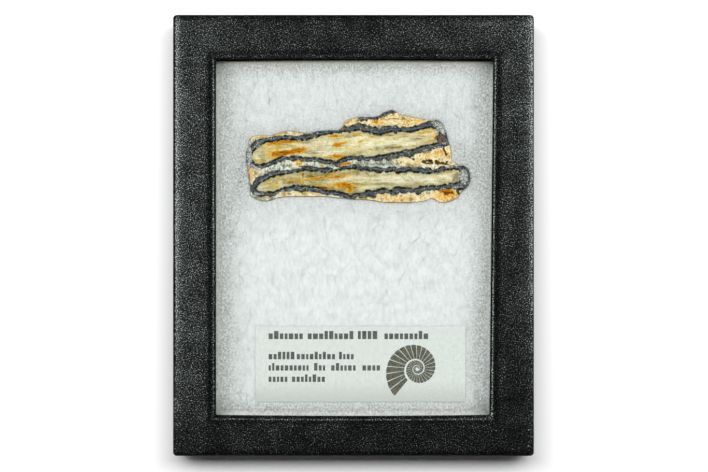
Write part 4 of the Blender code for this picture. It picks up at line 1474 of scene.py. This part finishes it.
def rounded_card(low, high):
    """The card's outline in millimetres, anticlockwise, with its corners barely rounded."""
    loop = []
    corners = ((high.x, high.y, 0), (low.x, high.y, 90), (low.x, low.y, 180), (high.x, low.y, 270))
    for x, y, start in corners:
        middle = x / MM - math.copysign(CARD_CORNER, x)
        level = y / MM + (CARD_CORNER if start >= 180 else -CARD_CORNER)
        for turn in (0, 30, 60, 90):
            angle = math.radians(start + turn)
            loop.append((middle + CARD_CORNER * math.cos(angle), level + CARD_CORNER * math.sin(angle)))
    return loop


def add_label():
    low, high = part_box("label")
    border, words = rounded_card(low, high), word_marks()
    points, polygons = [], []
    for loop in [border] + words + shell_marks():
        polygons.append(list(range(len(points), len(points) + len(loop))))
        points += [Vector(point) for point in loop]
    made = geometry.delaunay_2d_cdt(points, [], polygons, INSIDE_LOOPS, NEARNESS)
    verts, faces, sources = made[0], made[2], made[5]
    top = [(x * MM, y * MM, high.z) for x, y in verts]
    under = [(x * MM, y * MM, low.z) for x, y in border]
    sides = wall(len(top), 0, len(border))
    base = range(len(top) + len(under) - 1, len(top) - 1, -1)
    card = add_piece(
        "specimen_label", top + under, faces + sides + [base], label_stock(),
        print_ink("black_print", (112, 114, 110), (78, 80, 76)),
        print_ink("brown_print", (120, 120, 106), (76, 76, 64)),
    )
    for polygon, source in zip(card.data.polygons, sources):
        kind = max(source)
        polygon.material_index = 0 if kind == 0 else 1 if kind <= len(words) else 2
    card.data.shade_flat()
    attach(card, "root")
    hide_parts("label")


# ---- the studio ----


def finish_nodes(paper):
    """Gives the CAD's own tray and pane their finishes."""
    for node, material in (("tray", paper), ("window_glass", clear_pane())):
        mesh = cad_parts[node].data
        mesh.materials.clear()
        mesh.materials.append(material)


def add_floor():
    ground = Shader("white_sweep")
    ground.set(Base_Color=srgb(250, 250, 250), Roughness=0.9, Specular_IOR_Level=0.1)
    corners = [(FLOOR_REACH * x, FLOOR_REACH * y, 0.0) for x, y in ((-1, -1), (1, -1), (1, 1), (-1, 1))]
    floor = add_piece("floor", corners, [(0, 1, 2, 3)], ground.material)
    floor.location.z = -FLOOR_DROP


def add_light(name, place, size, power):
    """A soft rectangular light, aimed at the case. Only the overhead one isn't mirrored."""
    data = bpy.data.lights.new(name, "AREA")
    data.shape = "RECTANGLE"
    data.size, data.size_y = size
    data.energy = power
    light = bpy.data.objects.new(name, data)
    light.location = place
    light.rotation_euler = (-Vector(place)).to_track_quat("-Z", "Y").to_euler()
    light.visible_glossy = light.visible_transmission = name != "overhead"
    bpy.context.scene.collection.objects.link(light)


def add_lights():
    for light in LIGHTS:
        add_light(*light)
    world = bpy.data.worlds.new("studio")
    bpy.context.scene.world = world
    world.use_nodes = True
    background = world.node_tree.nodes["Background"]
    background.inputs["Color"].default_value = (1.0, 1.0, 1.0, 1.0)
    background.inputs["Strength"].default_value = AMBIENT
    bpy.context.scene.view_settings.view_transform = "Standard"


def add_camera():
    data = bpy.data.cameras.new("camera")
    data.lens = LENS
    data.sensor_width = SENSOR
    data.clip_start = 0.05
    data.clip_end = 20.0
    camera = bpy.data.objects.new("camera", data)
    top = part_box("lid")[1].z - LID_EDGE
    distance = FRAME_WIDTH * PIXEL * LENS / SENSOR
    camera.location = (*VIEW_OFFSET, top + distance)
    bpy.context.scene.collection.objects.link(camera)
    bpy.context.scene.camera = camera


# ---- the scene ----

paper = grained_paper()
finish_nodes(paper)
add_lid(paper)
add_slice()
add_batting()
add_label()
add_floor()
add_lights()
add_camera()
